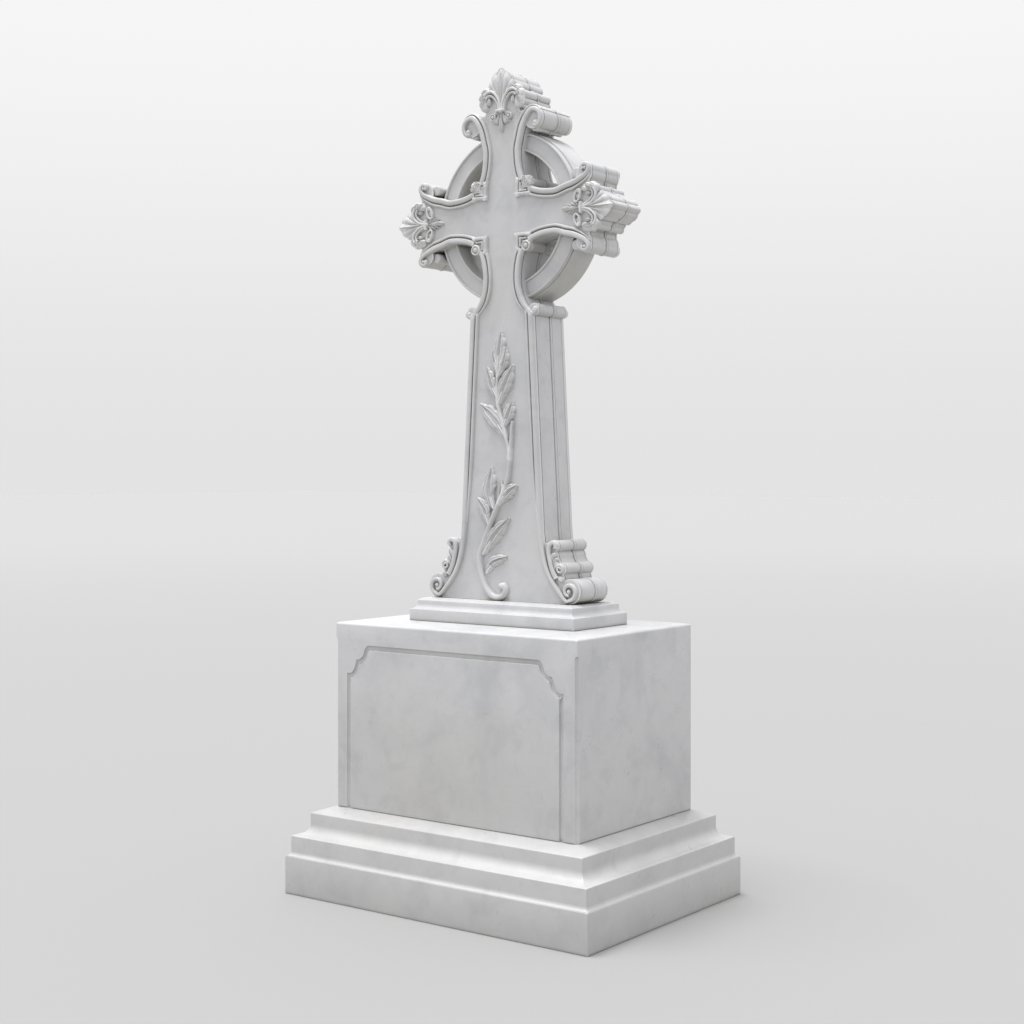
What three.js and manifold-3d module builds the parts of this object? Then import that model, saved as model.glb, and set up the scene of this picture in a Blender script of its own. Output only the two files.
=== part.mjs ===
// Ringed cross headstone in white marble: a moulded base, a block-shaped die, a small
// moulded plinth and a tall cross with a ring, scrolled arm ends and carved leaves.
// Millimetres, +Z up, front towards -Y, origin in the middle of the underside.
import * as THREE from "three";
import { mergeVertices } from "three/addons/utils/BufferGeometryUtils.js";
import Module from "manifold-3d";

const wasm = await Module();
wasm.setup();
const { Manifold } = wasm;

// Joints between the stones
const BED = 0.3;

// Base
const SLAB_W = 900;
const SLAB_D = 667;
const SLAB_H = 93;
const LEDGE = 10.3;
const FILLET_H = 38.5;
const NECK_IN = 33.5;
const NECK_H = 27;
const RIM_H = 27.5;
const WASH_H = 15;
const COVE_STEPS = 4;

// Die
const DIE_W = 724;
const DIE_D = 489;
const DIE_H = 454;
const DIE_ARRIS = 6;
const HOLLOW_R = 7;
const HOLLOW_STOP = 36;

// Incised panel frame on the front of the die
const PANEL_HALF = 325;
const PANEL_DROP = 52;
const FRAME_W = 12;
const FRAME_DEPTH = 3;
const EAR_W = 63;
const EAR_H = 71;

// Small plinth under the cross
const PLINTH_W = 499;
const PLINTH_D = 229;
const PLINTH_FACE_H = 28.7;
const PLINTH_COVE = 14;
const PLINTH_FILLET_H = 8;
const PLINTH_WASH = 5;
const SETBACK = 17;

// Cross
const THICK = 131;
const BAND_RISE = 7;
const CROSSING_RISE = 936.4;
const WAIST = 55;
const WAIST_AT = 150;
const WAIST_R = 170;
const MOTIF_AT = 67;
const MOTIF_R = 19;
const MOTIF_POINT = 43;

// Arm ends: scroll, side curl and leaf, each given as across the arm and along it
const SCROLL_R = 30;
const EYE_R = 12;
const EYE_SHIFT = [8, -18.5];
const TOP_ARM = { scroll: [90, 237], curl: [45, 293], curlR: 18, leafHalf: 34, tip: 362 };
const SIDE_ARM = { scroll: [77, 235.5], curl: [36, 270], curlR: 15, leafHalf: 30, tip: 326.5 };
const NECK_CURL = [92, 235];
const NECK_CURL_R = 15;

// Ring
const RING_R = 213;
const RING_RIM_R = 209;
const RING_INNER_R = 165;
const RING_FRONT_IN = 26;
const RING_BACK_IN = 4;
const RING_RIM_W = 6;
const RING_SINK = 3;
const RING_STEP_AT = 40;
const RING_STEPS = 34;

// Shaft and foot
const SHAFT_TOP_HALF = 95;
const SHAFT_FOOT_HALF = 124;
const FLARE_TOP = 168;
const FLARE_PULL = [133, 38];
const FLARE_END = [224, 14];
const FOOT_SCROLL = [201, 30];
const FOOT_ROLLS = [[156, 136, 17], [158, 113, 13], [177, 82, 16], [176, 56, 13]];
// How far the web behind the foot's rolls runs into the shaft
const HEART_LAP = 6;

// Edge bands
const BAND_W = 24;
const BORDER_W = 20;
const SHAFT_STEPS = 3;

// Levels worked out from the sizes above
const slabTop = SLAB_H;
const filletTop = slabTop + LEDGE + FILLET_H;
const neckTop = filletTop + NECK_H;
const rimTop = neckTop + RIM_H;
const baseTop = rimTop + WASH_H;
const dieFoot = baseTop + BED;
const dieTop = dieFoot + DIE_H;
const plinthFoot = dieTop + BED;
const plinthTop = plinthFoot + PLINTH_FACE_H + PLINTH_COVE + PLINTH_FILLET_H + PLINTH_WASH;
const crossFoot = plinthTop + BED;
const crossing = crossFoot + CROSSING_RISE;
const shaftTop = crossing - NECK_CURL[1];
const faceOut = THICK / 2;
const fieldOut = faceOut - BAND_RISE;

/** Turn a closed triangle mesh into a solid, with its faces outward. */
function solid(geometry) {
  geometry.deleteAttribute("normal");
  geometry.deleteAttribute("uv");
  const welded = mergeVertices(geometry, 1e-4);
  const points = welded.attributes.position.array;
  const faces = [...welded.index.array];
  const a = new THREE.Vector3();
  const b = new THREE.Vector3();
  const c = new THREE.Vector3();
  let volume = 0;
  for (let i = 0; i < faces.length; i += 3) {
    a.fromArray(points, 3 * faces[i]);
    b.fromArray(points, 3 * faces[i + 1]);
    c.fromArray(points, 3 * faces[i + 2]);
    volume += a.dot(b.cross(c));
  }
  if (volume < 0) {
    faces.reverse();
  }
  const mesh = new wasm.Mesh({ numProp: 3, vertProperties: points, triVerts: Uint32Array.from(faces) });
  return new Manifold(mesh);
}

/** A prism with the outline given in x and z, between two values of y. */
function prism(points, near, far) {
  const shape = new THREE.Shape(points.map(([x, z]) => new THREE.Vector2(x, z)));
  const geometry = new THREE.ExtrudeGeometry(shape, { depth: far - near, bevelEnabled: false });
  geometry.rotateX(Math.PI / 2);
  geometry.translate(0, far, 0);
  return solid(geometry);
}

/** Rows of equal numbers of points joined into a skin, with its two ends closed. */
function loft(rows) {
  const n = rows[0].length;
  const faces = [];
  for (let i = 0; i + 1 < rows.length; i += 1) {
    for (let j = 0; j < n; j += 1) {
      const k = (j + 1) % n;
      const p = i * n;
      faces.push(p + j, p + k, p + n + k, p + j, p + n + k, p + n + j);
    }
  }
  const last = (rows.length - 1) * n;
  for (let j = 1; j + 1 < n; j += 1) {
    faces.push(0, j + 1, j, last, last + j, last + j + 1);
  }
  const geometry = new THREE.BufferGeometry();
  geometry.setAttribute("position", new THREE.Float32BufferAttribute(rows.flat(2), 3));
  geometry.setIndex(faces);
  return solid(geometry);
}

/** A rectangular block moulded all round, from [inset, height] steps. */
function moulding(width, depth, steps) {
  return loft(steps.map(([inset, z]) => {
    const x = width / 2 - inset;
    const y = depth / 2 - inset;
    return [[-x, -y, z], [x, -y, z], [x, y, z], [-x, y, z]];
  }));
}

/** A hollow quarter curve from one [inset, height] to another. */
function hollow(from, to) {
  return Array.from({ length: COVE_STEPS + 1 }, (_, i) => {
    const turn = (i / COVE_STEPS) * (Math.PI / 2);
    const across = 1 - Math.cos(turn);
    return [from[0] + (to[0] - from[0]) * Math.sin(turn), from[1] + (to[1] - from[1]) * across];
  });
}

/** A circle as a list of points. */
function disc([x, z], radius, count = 10) {
  return Array.from({ length: count }, (_, i) => {
    const turn = (i / count) * 2 * Math.PI;
    return [x + radius * Math.cos(turn), z + radius * Math.sin(turn)];
  });
}

/** A smooth curve through points, as a list of points. */
function through(points, count) {
  const curve = new THREE.CatmullRomCurve3(points.map(([x, z]) => new THREE.Vector3(x, z, 0)));
  return curve.getPoints(count).map((p) => [p.x, p.y]);
}

const mirror = (points) => points.map(([x, z]) => [-x, z]).reverse();
const shift = ([x, z], [dx, dz]) => [x + dx, z + dz];

/** Set a point given across and along an arm into the front view. */
function arm(turn) {
  const s = Math.sin(turn);
  const c = Math.cos(turn);
  return ([across, along]) => [across * c + along * s, crossing + along * c - across * s];
}

const ARMS = [
  { at: arm(0), ...TOP_ARM },
  { at: arm(Math.PI / 2), ...SIDE_ARM },
  { at: arm(-Math.PI / 2), ...SIDE_ARM },
];
const NECK = arm(Math.PI);

/** Half the width of an arm at a distance from the crossing: a long hollow curve. */
function armHalf(along) {
  return WAIST + WAIST_R - Math.sqrt(WAIST_R ** 2 - (along - WAIST_AT) ** 2);
}

/** Outline of an arm's web, hollow on both sides, out to a given distance. */
function webOutline(end) {
  const start = WAIST_AT - (end - WAIST_AT);
  const side = [[armHalf(start), 0]];
  const count = 6;
  for (let i = 0; i <= count; i += 1) {
    const along = start + ((end - start) * i) / count;
    side.push([armHalf(along), along]);
  }
  return [...side, ...mirror(side)];
}

/** Outline of the block between the scrolls and the side curls. */
function terminalOutline({ scroll, curl }) {
  const [curlX, curlZ] = curl;
  const side = [scroll, [scroll[0], scroll[1] + SCROLL_R * 0.7], [curlX, curlZ]];
  return [[-scroll[0] / 2, WAIST_AT], [scroll[0] / 2, WAIST_AT], ...side, ...mirror(side)];
}

/** Outline of the broad end leaf, with shallow lobes beside its tip. */
function leafOutline({ leafHalf: half, tip, curl }) {
  const root = curl[1];
  const rise = tip - root;
  const side = [[half * 0.72, root], [half, root + rise * 0.36], [half * 0.94, root + rise * 0.55],
    [half * 0.66, root + rise * 0.76], [half * 0.58, root + rise * 0.83], [half * 0.2, root + rise * 0.97]];
  return [...side, [0, tip], ...mirror(side)];
}

/** Half the width of the shaft at a height, down to the top of the flared foot. */
function shaftHalf(z) {
  const t = (shaftTop - z) / (shaftTop - crossFoot - FLARE_TOP);
  return SHAFT_TOP_HALF + (SHAFT_FOOT_HALF - SHAFT_TOP_HALF) * t;
}

/** Right-hand edge of shaft and foot, from the top down to the spread foot. */
function shaftEdge(inset) {
  const edge = [];
  for (let i = 0; i < SHAFT_STEPS; i += 1) {
    const z = shaftTop + ((crossFoot + FLARE_TOP - shaftTop) * i) / SHAFT_STEPS;
    edge.push([shaftHalf(z) - inset, z]);
  }
  const flare = new THREE.QuadraticBezierCurve(
    new THREE.Vector2(SHAFT_FOOT_HALF - inset, crossFoot + FLARE_TOP),
    new THREE.Vector2(FLARE_PULL[0] - inset, crossFoot + FLARE_PULL[1]),
    new THREE.Vector2(FLARE_END[0] - inset, crossFoot + FLARE_END[1]),
  );
  return [...edge, ...flare.getPoints(5).map((p) => [p.x, p.y])];
}

/** All outlines of the cross in the front view. */
function outlines() {
  const list = [];
  for (const { at, ...form } of ARMS) {
    const both = [form.scroll, shift(form.scroll, EYE_SHIFT), form.curl];
    const radii = [SCROLL_R, EYE_R, form.curlR];
    const reach = form.scroll[1] - SCROLL_R * 0.5;
    list.push(webOutline(reach).map(at));
    list.push(terminalOutline(form).map(at));
    list.push(leafOutline(form).map(at));
    both.forEach(([x, z], i) => {
      for (const side of [-1, 1]) {
        list.push(disc([side * x, z], radii[i]).map(at));
      }
    });
  }
  const neckEnd = NECK_CURL[1] + NECK_CURL_R * 0.5;
  list.push(webOutline(neckEnd).map(NECK));
  const edge = shaftEdge(0);
  const foot = [SHAFT_FOOT_HALF, crossFoot];
  list.push([...edge, foot, [-foot[0], foot[1]], ...mirror(edge)]);
  for (const side of [-1, 1]) {
    for (const z of [-MOTIF_AT, MOTIF_AT]) {
      list.push(disc([side * MOTIF_AT, crossing + z], MOTIF_R));
    }
    list.push(disc([side * NECK_CURL[0], crossing - NECK_CURL[1]], NECK_CURL_R));
    list.push(disc([side * FOOT_SCROLL[0], crossFoot + FOOT_SCROLL[1]], FOOT_SCROLL[1], 16));
    for (const [x, z, r] of FOOT_ROLLS) {
      list.push(disc([side * x, crossFoot + z], r));
    }
    const heart = [...FOOT_ROLLS, FOOT_SCROLL].map(([x, z]) => [side * x, crossFoot + z]);
    const inside = side * (SHAFT_FOOT_HALF - HEART_LAP);
    const rollTop = crossFoot + FOOT_ROLLS[0][1] + HEART_LAP;
    list.push([...heart, [inside, crossFoot + FOOT_SCROLL[1]], [inside, rollTop]]);
  }
  return list;
}

/** The cross body, one slab with the outline of arms, scrolls, shaft and foot. */
function body() {
  return Manifold.union(outlines().map((points) => prism(points, -fieldOut, fieldOut)));
}

/** The ring, turned about the line through the crossing from front to back. */
function ring() {
  const front = -faceOut + RING_FRONT_IN;
  const back = faceOut - RING_BACK_IN;
  const sink = front + RING_SINK;
  const profile = [
    [RING_INNER_R, front],
    [RING_INNER_R + RING_RIM_W, front],
    [RING_INNER_R + RING_RIM_W, sink],
    [RING_RIM_R - RING_RIM_W, sink],
    [RING_RIM_R - RING_RIM_W, front],
    [RING_RIM_R, front],
    [RING_RIM_R, -faceOut + RING_STEP_AT],
    [RING_R, -faceOut + RING_STEP_AT],
    [RING_R, back],
    [RING_INNER_R, back],
    [RING_INNER_R, front],
  ];
  const geometry = new THREE.LatheGeometry(profile.map(([r, y]) => new THREE.Vector2(r, y)), RING_STEPS);
  geometry.translate(0, 0, crossing);
  return solid(geometry);
}

/** A raised band along a path on the front face, from [across, rise] shares. */
function band(path, widths, rise, section) {
  const sunk = 1;
  return loft(path.map(([x, z], i) => {
    const next = path[Math.min(i + 1, path.length - 1)];
    const last = path[Math.max(i - 1, 0)];
    const way = new THREE.Vector2(next[0] - last[0], next[1] - last[1]).normalize();
    const t = i / (path.length - 1);
    const half = THREE.MathUtils.lerp(widths[0], widths[1], t) / 2;
    return section.map(([across, up]) => [
      x - way.y * across * half,
      -fieldOut + sunk - (rise + sunk) * up,
      z + way.x * across * half,
    ]);
  }));
}

const ROLL_AND_BEAD = [[-1, 0], [-0.7, 1], [0.2, 0.5], [0.6, 0.9], [0.9, 0]];
const PLAIN_ROLL = [[-1, 0], [-0.8, 1], [0.6, 1], [0.9, 0]];

/** Middle line of the band of an arm, from the crossing out and round the scroll. */
function armBand({ scroll }) {
  const inner = armHalf(2 * MOTIF_AT - MOTIF_POINT) - BAND_W / 2;
  const steps = [[-42, -50], [-30, -19], [-13, 4], [4, 15], [19, 9], [24, -6], [17, -19]];
  return [
    [inner, 2 * MOTIF_AT - MOTIF_POINT - 4],
    [WAIST - BAND_W / 2, WAIST_AT - 18],
    ...steps.map((step) => shift(scroll, step)),
  ];
}

/** Middle line of the band of the neck, ending in its small curl. */
function neckBand() {
  const inner = armHalf(2 * MOTIF_AT - MOTIF_POINT) - BAND_W / 2;
  const steps = [[-43, -55], [-32, -27], [-15, -5], [0, 5], [9, -1], [7, -8]];
  return [
    [inner, 2 * MOTIF_AT - MOTIF_POINT - 4],
    [WAIST - BAND_W / 2, WAIST_AT - 18],
    ...steps.map((step) => shift(NECK_CURL, step)),
  ];
}

/** Middle line of the border of the shaft, ending in the scroll of the foot. */
function borderLine() {
  const edge = shaftEdge(BORDER_W / 2 + 1).slice(0, -1);
  const eye = [FOOT_SCROLL[0], crossFoot + FOOT_SCROLL[1]];
  const spiral = [];
  for (let i = 0; i <= 6; i += 1) {
    const turn = THREE.MathUtils.degToRad(-110 + 50 * i);
    const radius = FOOT_SCROLL[1] - 11 - i * 1.8;
    spiral.push([eye[0] + radius * Math.cos(turn), eye[1] + radius * Math.sin(turn)]);
  }
  return through([...edge, ...spiral], 16);
}

/** Edge bands and border of one face of the cross. */
function edging(section, rise) {
  const list = [];
  const add = (line, place, widths) => {
    list.push(band(line.map(place), widths, rise, section));
    const other = section.map(([across, up]) => [-across, up]);
    list.push(band(line.map(([x, z]) => place([-x, z])), widths, rise, other));
  };
  for (const { at, ...form } of ARMS) {
    add(through(armBand(form), 10), at, [BAND_W, BAND_W / 2]);
  }
  add(through(neckBand(), 10), NECK, [BAND_W, BAND_W / 2]);
  add(borderLine(), (point) => point, [BORDER_W, BORDER_W / 2]);
  return list;
}

/** A pointed leaf with a raised middle, lying on the front face. */
function leaf(root, tip, half, rise, steps = 4, lobes = 0) {
  const way = new THREE.Vector2(tip[0] - root[0], tip[1] - root[1]);
  const sunk = 1;
  const rows = [];
  for (let i = 0; i <= steps; i += 1) {
    const t = i / steps;
    const swell = Math.sin(Math.PI * (0.06 + 0.9 * t ** 0.8));
    const lobe = lobes ? 1 + 0.28 * Math.cos(lobes * Math.PI * i) : 1;
    const w = half * swell * lobe;
    const side = way.clone().normalize();
    const x = root[0] + way.x * t;
    const z = root[1] + way.y * t;
    const at = (across, up) => [x - side.y * across, -fieldOut + sunk - up, z + side.x * across];
    rows.push([at(-w, 0), at(-w, sunk + rise * 0.4), at(0, sunk + rise * (0.4 + 0.6 * swell)),
      at(w, sunk + rise * 0.4), at(w, 0)]);
  }
  return loft(rows);
}

/** The leaf spray of an arm end: ribs, two curling side leaves, tie, loops and drop. */
function spray({ at, curl, curlR, tip, leafHalf }) {
  const tie = curl[1] - 36;
  const flat = (points, rise) => prism(points.map(at), -fieldOut - rise, -fieldOut + 1);
  const list = [];
  for (const lean of [-0.5, -0.26, 0, 0.26, 0.5]) {
    const reach = (tip - tie) * (1 - 0.9 * lean ** 2) - 6;
    const end = [Math.sin(lean) * reach, tie + Math.cos(lean) * reach];
    list.push(leaf(at([0, tie]), at(end), leafHalf * 0.24, 8));
  }
  for (const side of [-1, 1]) {
    const line = through([
      [side * 4, tie + 2],
      [side * 14, tie + 28],
      [side * curl[0] * 0.75, curl[1] + curlR * 0.55],
      [side * (curl[0] + curlR * 0.5), curl[1]],
      [side * curl[0], curl[1] - curlR * 0.5],
    ], 7);
    list.push(band(line.map(at), [8, 16], 9, PLAIN_ROLL));
    list.push(flat(disc([side * 20, tie - 14], 9, 8), 8));
  }
  list.push(flat([[-13, tie - 4], [13, tie - 4], [13, tie + 4], [-13, tie + 4]], 10));
  list.push(leaf(at([0, tie]), at([0, tie - 50]), 8, 8));
  return list;
}

/** The four carved corner pieces of the crossing. */
function motifs() {
  const far = 2 * MOTIF_AT - MOTIF_POINT - 6;
  const shape = [[MOTIF_POINT, MOTIF_POINT], [far, MOTIF_POINT + 6], [far - 2, MOTIF_AT + 6],
    [MOTIF_AT + 6, far - 2], [MOTIF_POINT + 6, far]];
  const list = [];
  for (const sx of [-1, 1]) {
    for (const sz of [-1, 1]) {
      const points = shape.map(([x, z]) => [sx * x, crossing + sz * z]);
      list.push(prism(points, -faceOut - 1, -fieldOut + 1));
    }
  }
  return list;
}

// The leafy branch on the shaft: its stem, then each leaf from root to tip,
// in millimetres across from the middle and up from the foot of the cross
const STEM = [[8, 42], [20, 30], [14, 14], [-8, 10], [-36, 36], [-50, 80], [-56, 120], [-34, 178],
  [2, 240], [26, 300], [31, 350], [22, 400], [4, 470], [-8, 520], [-6, 580]];
const STEM_W = [13, 7];
const LEAVES = [
  [[-34, 66], [24, 112], 10], [[-44, 116], [30, 200], 15], [[-20, 214], [-64, 250], 13],
  [[-4, 230], [-22, 318], 17], [[4, 244], [50, 282], 12], [[14, 420], [-56, 478], 17],
  [[12, 432], [40, 480], 12], [[0, 480], [38, 568], 14], [[-8, 500], [-34, 560], 12],
  [[-4, 560], [16, 610], 11], [[-6, 560], [4, 652], 17],
];

/** The branch in low relief on the front of the shaft. */
function branch() {
  const lift = ([x, z]) => [x, crossFoot + z];
  const stem = through(STEM, 16).map(lift);
  return [
    band(stem, STEM_W, 8, PLAIN_ROLL),
    ...LEAVES.map(([root, tip, half]) => leaf(lift(root), lift(tip), half, 7, 4, 1)),
  ];
}

/** The whole cross, with a plainer back. */
function cross() {
  const back = edging(PLAIN_ROLL, BAND_RISE).map((piece) => piece.rotate([0, 0, 180]));
  const sprays = ARMS.flatMap((form) => spray(form));
  return Manifold.union([
    body(),
    ring(),
    ...edging(ROLL_AND_BEAD, BAND_RISE),
    ...back,
    ...sprays,
    ...motifs(),
    ...branch(),
  ]).translate([0, SETBACK, 0]);
}

/** The stepped base, one stone. */
function base() {
  const inner = LEDGE + NECK_IN;
  return moulding(SLAB_W, SLAB_D, [
    [0, 0],
    [0, slabTop],
    ...hollow([0, slabTop], [LEDGE, slabTop + LEDGE]).slice(1),
    [LEDGE, filletTop],
    ...hollow([LEDGE + 2, filletTop], [inner, neckTop]),
    [inner, rimTop],
    [(SLAB_W - DIE_W) / 2, baseTop],
  ]);
}

/** Outline of the panel frame, drawn in by an inset, open at the foot. */
function panelOutline(inset) {
  const half = PANEL_HALF - inset;
  const top = dieTop - PANEL_DROP - inset;
  const ear = [half - EAR_W, top];
  const step = [ear[0] + EAR_W / 2, top - EAR_H * 0.55];
  const side = [
    [half, dieFoot - 1],
    [half, top - EAR_H],
    [half - EAR_W * 0.26, top - EAR_H * 0.94],
    [step[0] + 2, step[1] - EAR_H * 0.2],
    step,
    [ear[0] + EAR_W * 0.2, top - EAR_H * 0.34],
    ear,
  ];
  return [...side, ...mirror(side)];
}

/** The die: a block with an incised panel and stopped hollows on its front corners. */
function die() {
  const front = -DIE_D / 2;
  const block = moulding(DIE_W, DIE_D, [
    [0, dieFoot],
    [0, dieTop - DIE_ARRIS],
    [DIE_ARRIS * 0.3, dieTop - DIE_ARRIS * 0.3],
    [DIE_ARRIS, dieTop],
  ]);
  const frame = prism(panelOutline(0), front - 1, front + FRAME_DEPTH)
    .subtract(prism(panelOutline(FRAME_W), front - 2, front + FRAME_DEPTH + 1));
  const hollows = [];
  for (const x of [-DIE_W / 2, DIE_W / 2]) {
    const length = DIE_H - HOLLOW_STOP + 1;
    const rod = new THREE.CylinderGeometry(HOLLOW_R, HOLLOW_R, length, 16);
    rod.rotateX(Math.PI / 2);
    rod.translate(x, front, dieFoot - 1 + length / 2);
    hollows.push(solid(rod));
  }
  return block.subtract(Manifold.union([frame, ...hollows]));
}

/** The small moulded plinth under the cross. */
function crossPlinth() {
  const coveFoot = plinthFoot + PLINTH_FACE_H;
  const coveTop = coveFoot + PLINTH_COVE;
  return moulding(PLINTH_W, PLINTH_D, [
    [0, plinthFoot],
    [0, coveFoot],
    [2.5, coveFoot + 1],
    ...hollow([2.5, coveFoot + 2], [PLINTH_COVE, coveTop]),
    [PLINTH_COVE, coveTop + PLINTH_FILLET_H],
    [PLINTH_COVE + 2 * PLINTH_WASH, plinthTop],
  ]).translate([0, SETBACK, 0]);
}

/** A named mesh from a solid. */
function piece(name, form, color) {
  const { vertProperties, triVerts } = form.getMesh();
  const geometry = new THREE.BufferGeometry();
  geometry.setAttribute("position", new THREE.Float32BufferAttribute(vertProperties, 3));
  geometry.setIndex([...triVerts]);
  geometry.computeVertexNormals();
  const material = new THREE.MeshStandardMaterial({ color, roughness: 0.55, metalness: 0, flatShading: true });
  const mesh = new THREE.Mesh(geometry, material);
  mesh.name = name;
  return mesh;
}

const group = new THREE.Group();
group.name = "ringed_cross_headstone";
group.add(piece("base", base(), 0xd9d9da));
group.add(piece("die", die(), 0xc9c9ca));
group.add(piece("cross_plinth", crossPlinth(), 0xe0e0e2));
group.add(piece("cross", cross(), 0xcfcfd1));

export default group;
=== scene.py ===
"""Ringed headstone cross in white marble on a die and a moulded base, dressed over its CAD frame."""

from __future__ import annotations

import logging
import math
from dataclasses import dataclass, replace
from enum import Enum
from typing import Callable, Sequence

import bmesh
import bpy
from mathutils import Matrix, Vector, geometry

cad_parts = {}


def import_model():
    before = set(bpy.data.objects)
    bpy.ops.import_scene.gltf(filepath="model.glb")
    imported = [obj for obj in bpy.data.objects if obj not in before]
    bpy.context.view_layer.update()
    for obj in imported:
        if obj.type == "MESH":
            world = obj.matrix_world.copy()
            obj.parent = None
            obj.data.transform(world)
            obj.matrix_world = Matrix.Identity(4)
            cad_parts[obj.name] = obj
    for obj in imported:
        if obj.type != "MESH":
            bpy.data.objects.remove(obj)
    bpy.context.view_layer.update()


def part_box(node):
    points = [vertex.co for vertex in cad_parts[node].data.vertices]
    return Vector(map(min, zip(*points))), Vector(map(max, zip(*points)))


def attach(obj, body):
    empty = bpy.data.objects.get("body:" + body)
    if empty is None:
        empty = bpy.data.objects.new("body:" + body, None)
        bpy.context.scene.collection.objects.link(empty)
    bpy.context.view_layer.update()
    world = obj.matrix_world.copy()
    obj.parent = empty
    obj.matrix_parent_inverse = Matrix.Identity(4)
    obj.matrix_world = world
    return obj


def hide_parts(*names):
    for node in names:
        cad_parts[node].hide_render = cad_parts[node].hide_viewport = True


LOG = logging.getLogger("headstone")

MM = 0.001
# A corner whose two sides nearly cancel out is a fold
FOLD = 0.2

Point = tuple[float, float]
Section = list[tuple[float, float, float]]
Place = Callable[[float, float], Point]
Tint = tuple[float, float, float]
Carving = bpy.types.Object
Socket = bpy.types.NodeSocket


# Small tools of the workshop


def pick(*parts: Carving) -> None:
    """Select these objects and no others, with the first one active."""
    bpy.ops.object.select_all(action="DESELECT")
    for part in parts:
        part.select_set(True)
    if parts:
        bpy.context.view_layer.objects.active = parts[0]


def skin(name: str, sections: Sequence[Section]) -> Carving:
    """Extrude a flat face step by step through a row of closed sections.

    Args:
        name: Name of the new object.
        sections: Closed sections in millimetres, all with the same number of points.

    Returns:
        The closed mesh object, with its faces outward.
    """
    pick()
    bpy.ops.mesh.primitive_circle_add(vertices=len(sections[0]), fill_type="NGON")
    obj = bpy.context.object
    obj.name = name
    bpy.ops.object.mode_set(mode="EDIT")
    net = bmesh.from_edit_mesh(obj.data)
    layer = net.verts.layers.int.new("station")
    for number, vert in enumerate(net.verts):
        vert[layer] = number
    move_selected(obj, sections[0])
    for section in sections[1:]:
        bpy.ops.mesh.extrude_region_move(TRANSFORM_OT_translate={"value": (0, 0, 0)})
        move_selected(obj, section)
    bpy.ops.mesh.select_all(action="SELECT")
    bpy.ops.mesh.normals_make_consistent(inside=False)
    bpy.ops.object.mode_set(mode="OBJECT")
    return obj


def move_selected(obj: Carving, section: Section) -> None:
    """Set the selected ring of points of a mesh in edit mode onto a section.

    Args:
        obj: The object in edit mode.
        section: The places of the ring's points, in millimetres.
    """
    net = bmesh.from_edit_mesh(obj.data)
    layer = net.verts.layers.int["station"]
    for vert in net.verts:
        if vert.select:
            vert.co = Vector(section[vert[layer]]) * MM
    bmesh.update_edit_mesh(obj.data)


def joined(name: str, parts: Sequence[Carving], angle: float = 35.0) -> Carving:
    """Join parts of one carving into one object and smooth its curves.

    Args:
        name: Name of the joined object.
        parts: The parts.
        angle: Edges sharper than this, in degrees, stay crisp.

    Returns:
        The joined object.
    """
    pick(*parts)
    if len(parts) > 1:
        bpy.ops.object.join()
    whole = bpy.context.object
    whole.name = whole.data.name = name
    bpy.ops.object.transform_apply(location=True, rotation=True, scale=True)
    bpy.ops.object.shade_smooth_by_angle(angle=math.radians(angle))
    return whole


def rounded(obj: Carving, width: float, segments: int = 3, angle: float = 30.0) -> None:
    """Round the arrises of a stone with an applied bevel.

    Args:
        obj: The stone.
        width: Width of the rounding in millimetres.
        segments: Number of facets across it.
        angle: Edges sharper than this, in degrees, are rounded.
    """
    pick(obj)
    bevel = obj.modifiers.new("arris", "BEVEL")
    bevel.width = width * MM
    bevel.segments = segments
    bevel.limit_method = "ANGLE"
    bevel.angle_limit = math.radians(angle)
    bpy.ops.object.modifier_apply(modifier=bevel.name)


# Lines and outlines in the plane of the front


def curve_through(points: Sequence[Point], count: int) -> list[Point]:
    """Draw a smooth curve through points, at even steps along it.

    Args:
        points: The points that it passes.
        count: Number of points to return.

    Returns:
        The points of the curve.
    """
    ends = [points[0], *points, points[-1]]
    fine: list[Point] = []
    parts = 12
    for i in range(len(points) - 1):
        p0, p1, p2, p3 = (Vector(p) for p in ends[i : i + 4])
        for k in range(parts):
            t = k / parts
            a = 2 * p1 + (p2 - p0) * t
            b = (2 * p0 - 5 * p1 + 4 * p2 - p3) * t**2 + (3 * p1 - p0 - 3 * p2 + p3) * t**3
            fine.append(tuple((a + b) / 2))
    fine.append(tuple(points[-1]))
    return even_steps(fine, count)


def even_steps(line: Sequence[Point], count: int) -> list[Point]:
    """Divide a line of points into even steps.

    Args:
        line: The line.
        count: Number of points to return.

    Returns:
        Points at even distances along the line.
    """
    lengths = [0.0]
    for a, b in zip(line, line[1:]):
        lengths.append(lengths[-1] + math.dist(a, b))
    made, k = [], 0
    for i in range(count):
        want = lengths[-1] * i / (count - 1)
        while k < len(line) - 2 and lengths[k + 1] < want:
            k += 1
        span = lengths[k + 1] - lengths[k] or 1.0
        t = (want - lengths[k]) / span
        made.append(tuple(Vector(line[k]).lerp(Vector(line[k + 1]), t)))
    return made


def normals_of(line: Sequence[Point]) -> list[Vector]:
    """Sideways directions along a line, to the left of its way.

    Args:
        line: The line.

    Returns:
        One unit vector a point.
    """
    made = []
    for i in range(len(line)):
        way = Vector(line[min(i + 1, len(line) - 1)]) - Vector(line[max(i - 1, 0)])
        way.normalize()
        made.append(Vector((-way.y, way.x)))
    return made


def disc(centre: Point, radius: float, count: int = 32) -> list[Point]:
    """Draw a circle.

    Args:
        centre: Its centre.
        radius: Its radius.
        count: Number of points.

    Returns:
        Its points.
    """
    turns = (2 * math.pi * i / count for i in range(count))
    return [(centre[0] + radius * math.cos(t), centre[1] + radius * math.sin(t)) for t in turns]


def mirrored(points: Sequence[Point]) -> list[Point]:
    """Mirror points left to right, and turn their order."""
    return [(-x, z) for x, z in reversed(points)]


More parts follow.
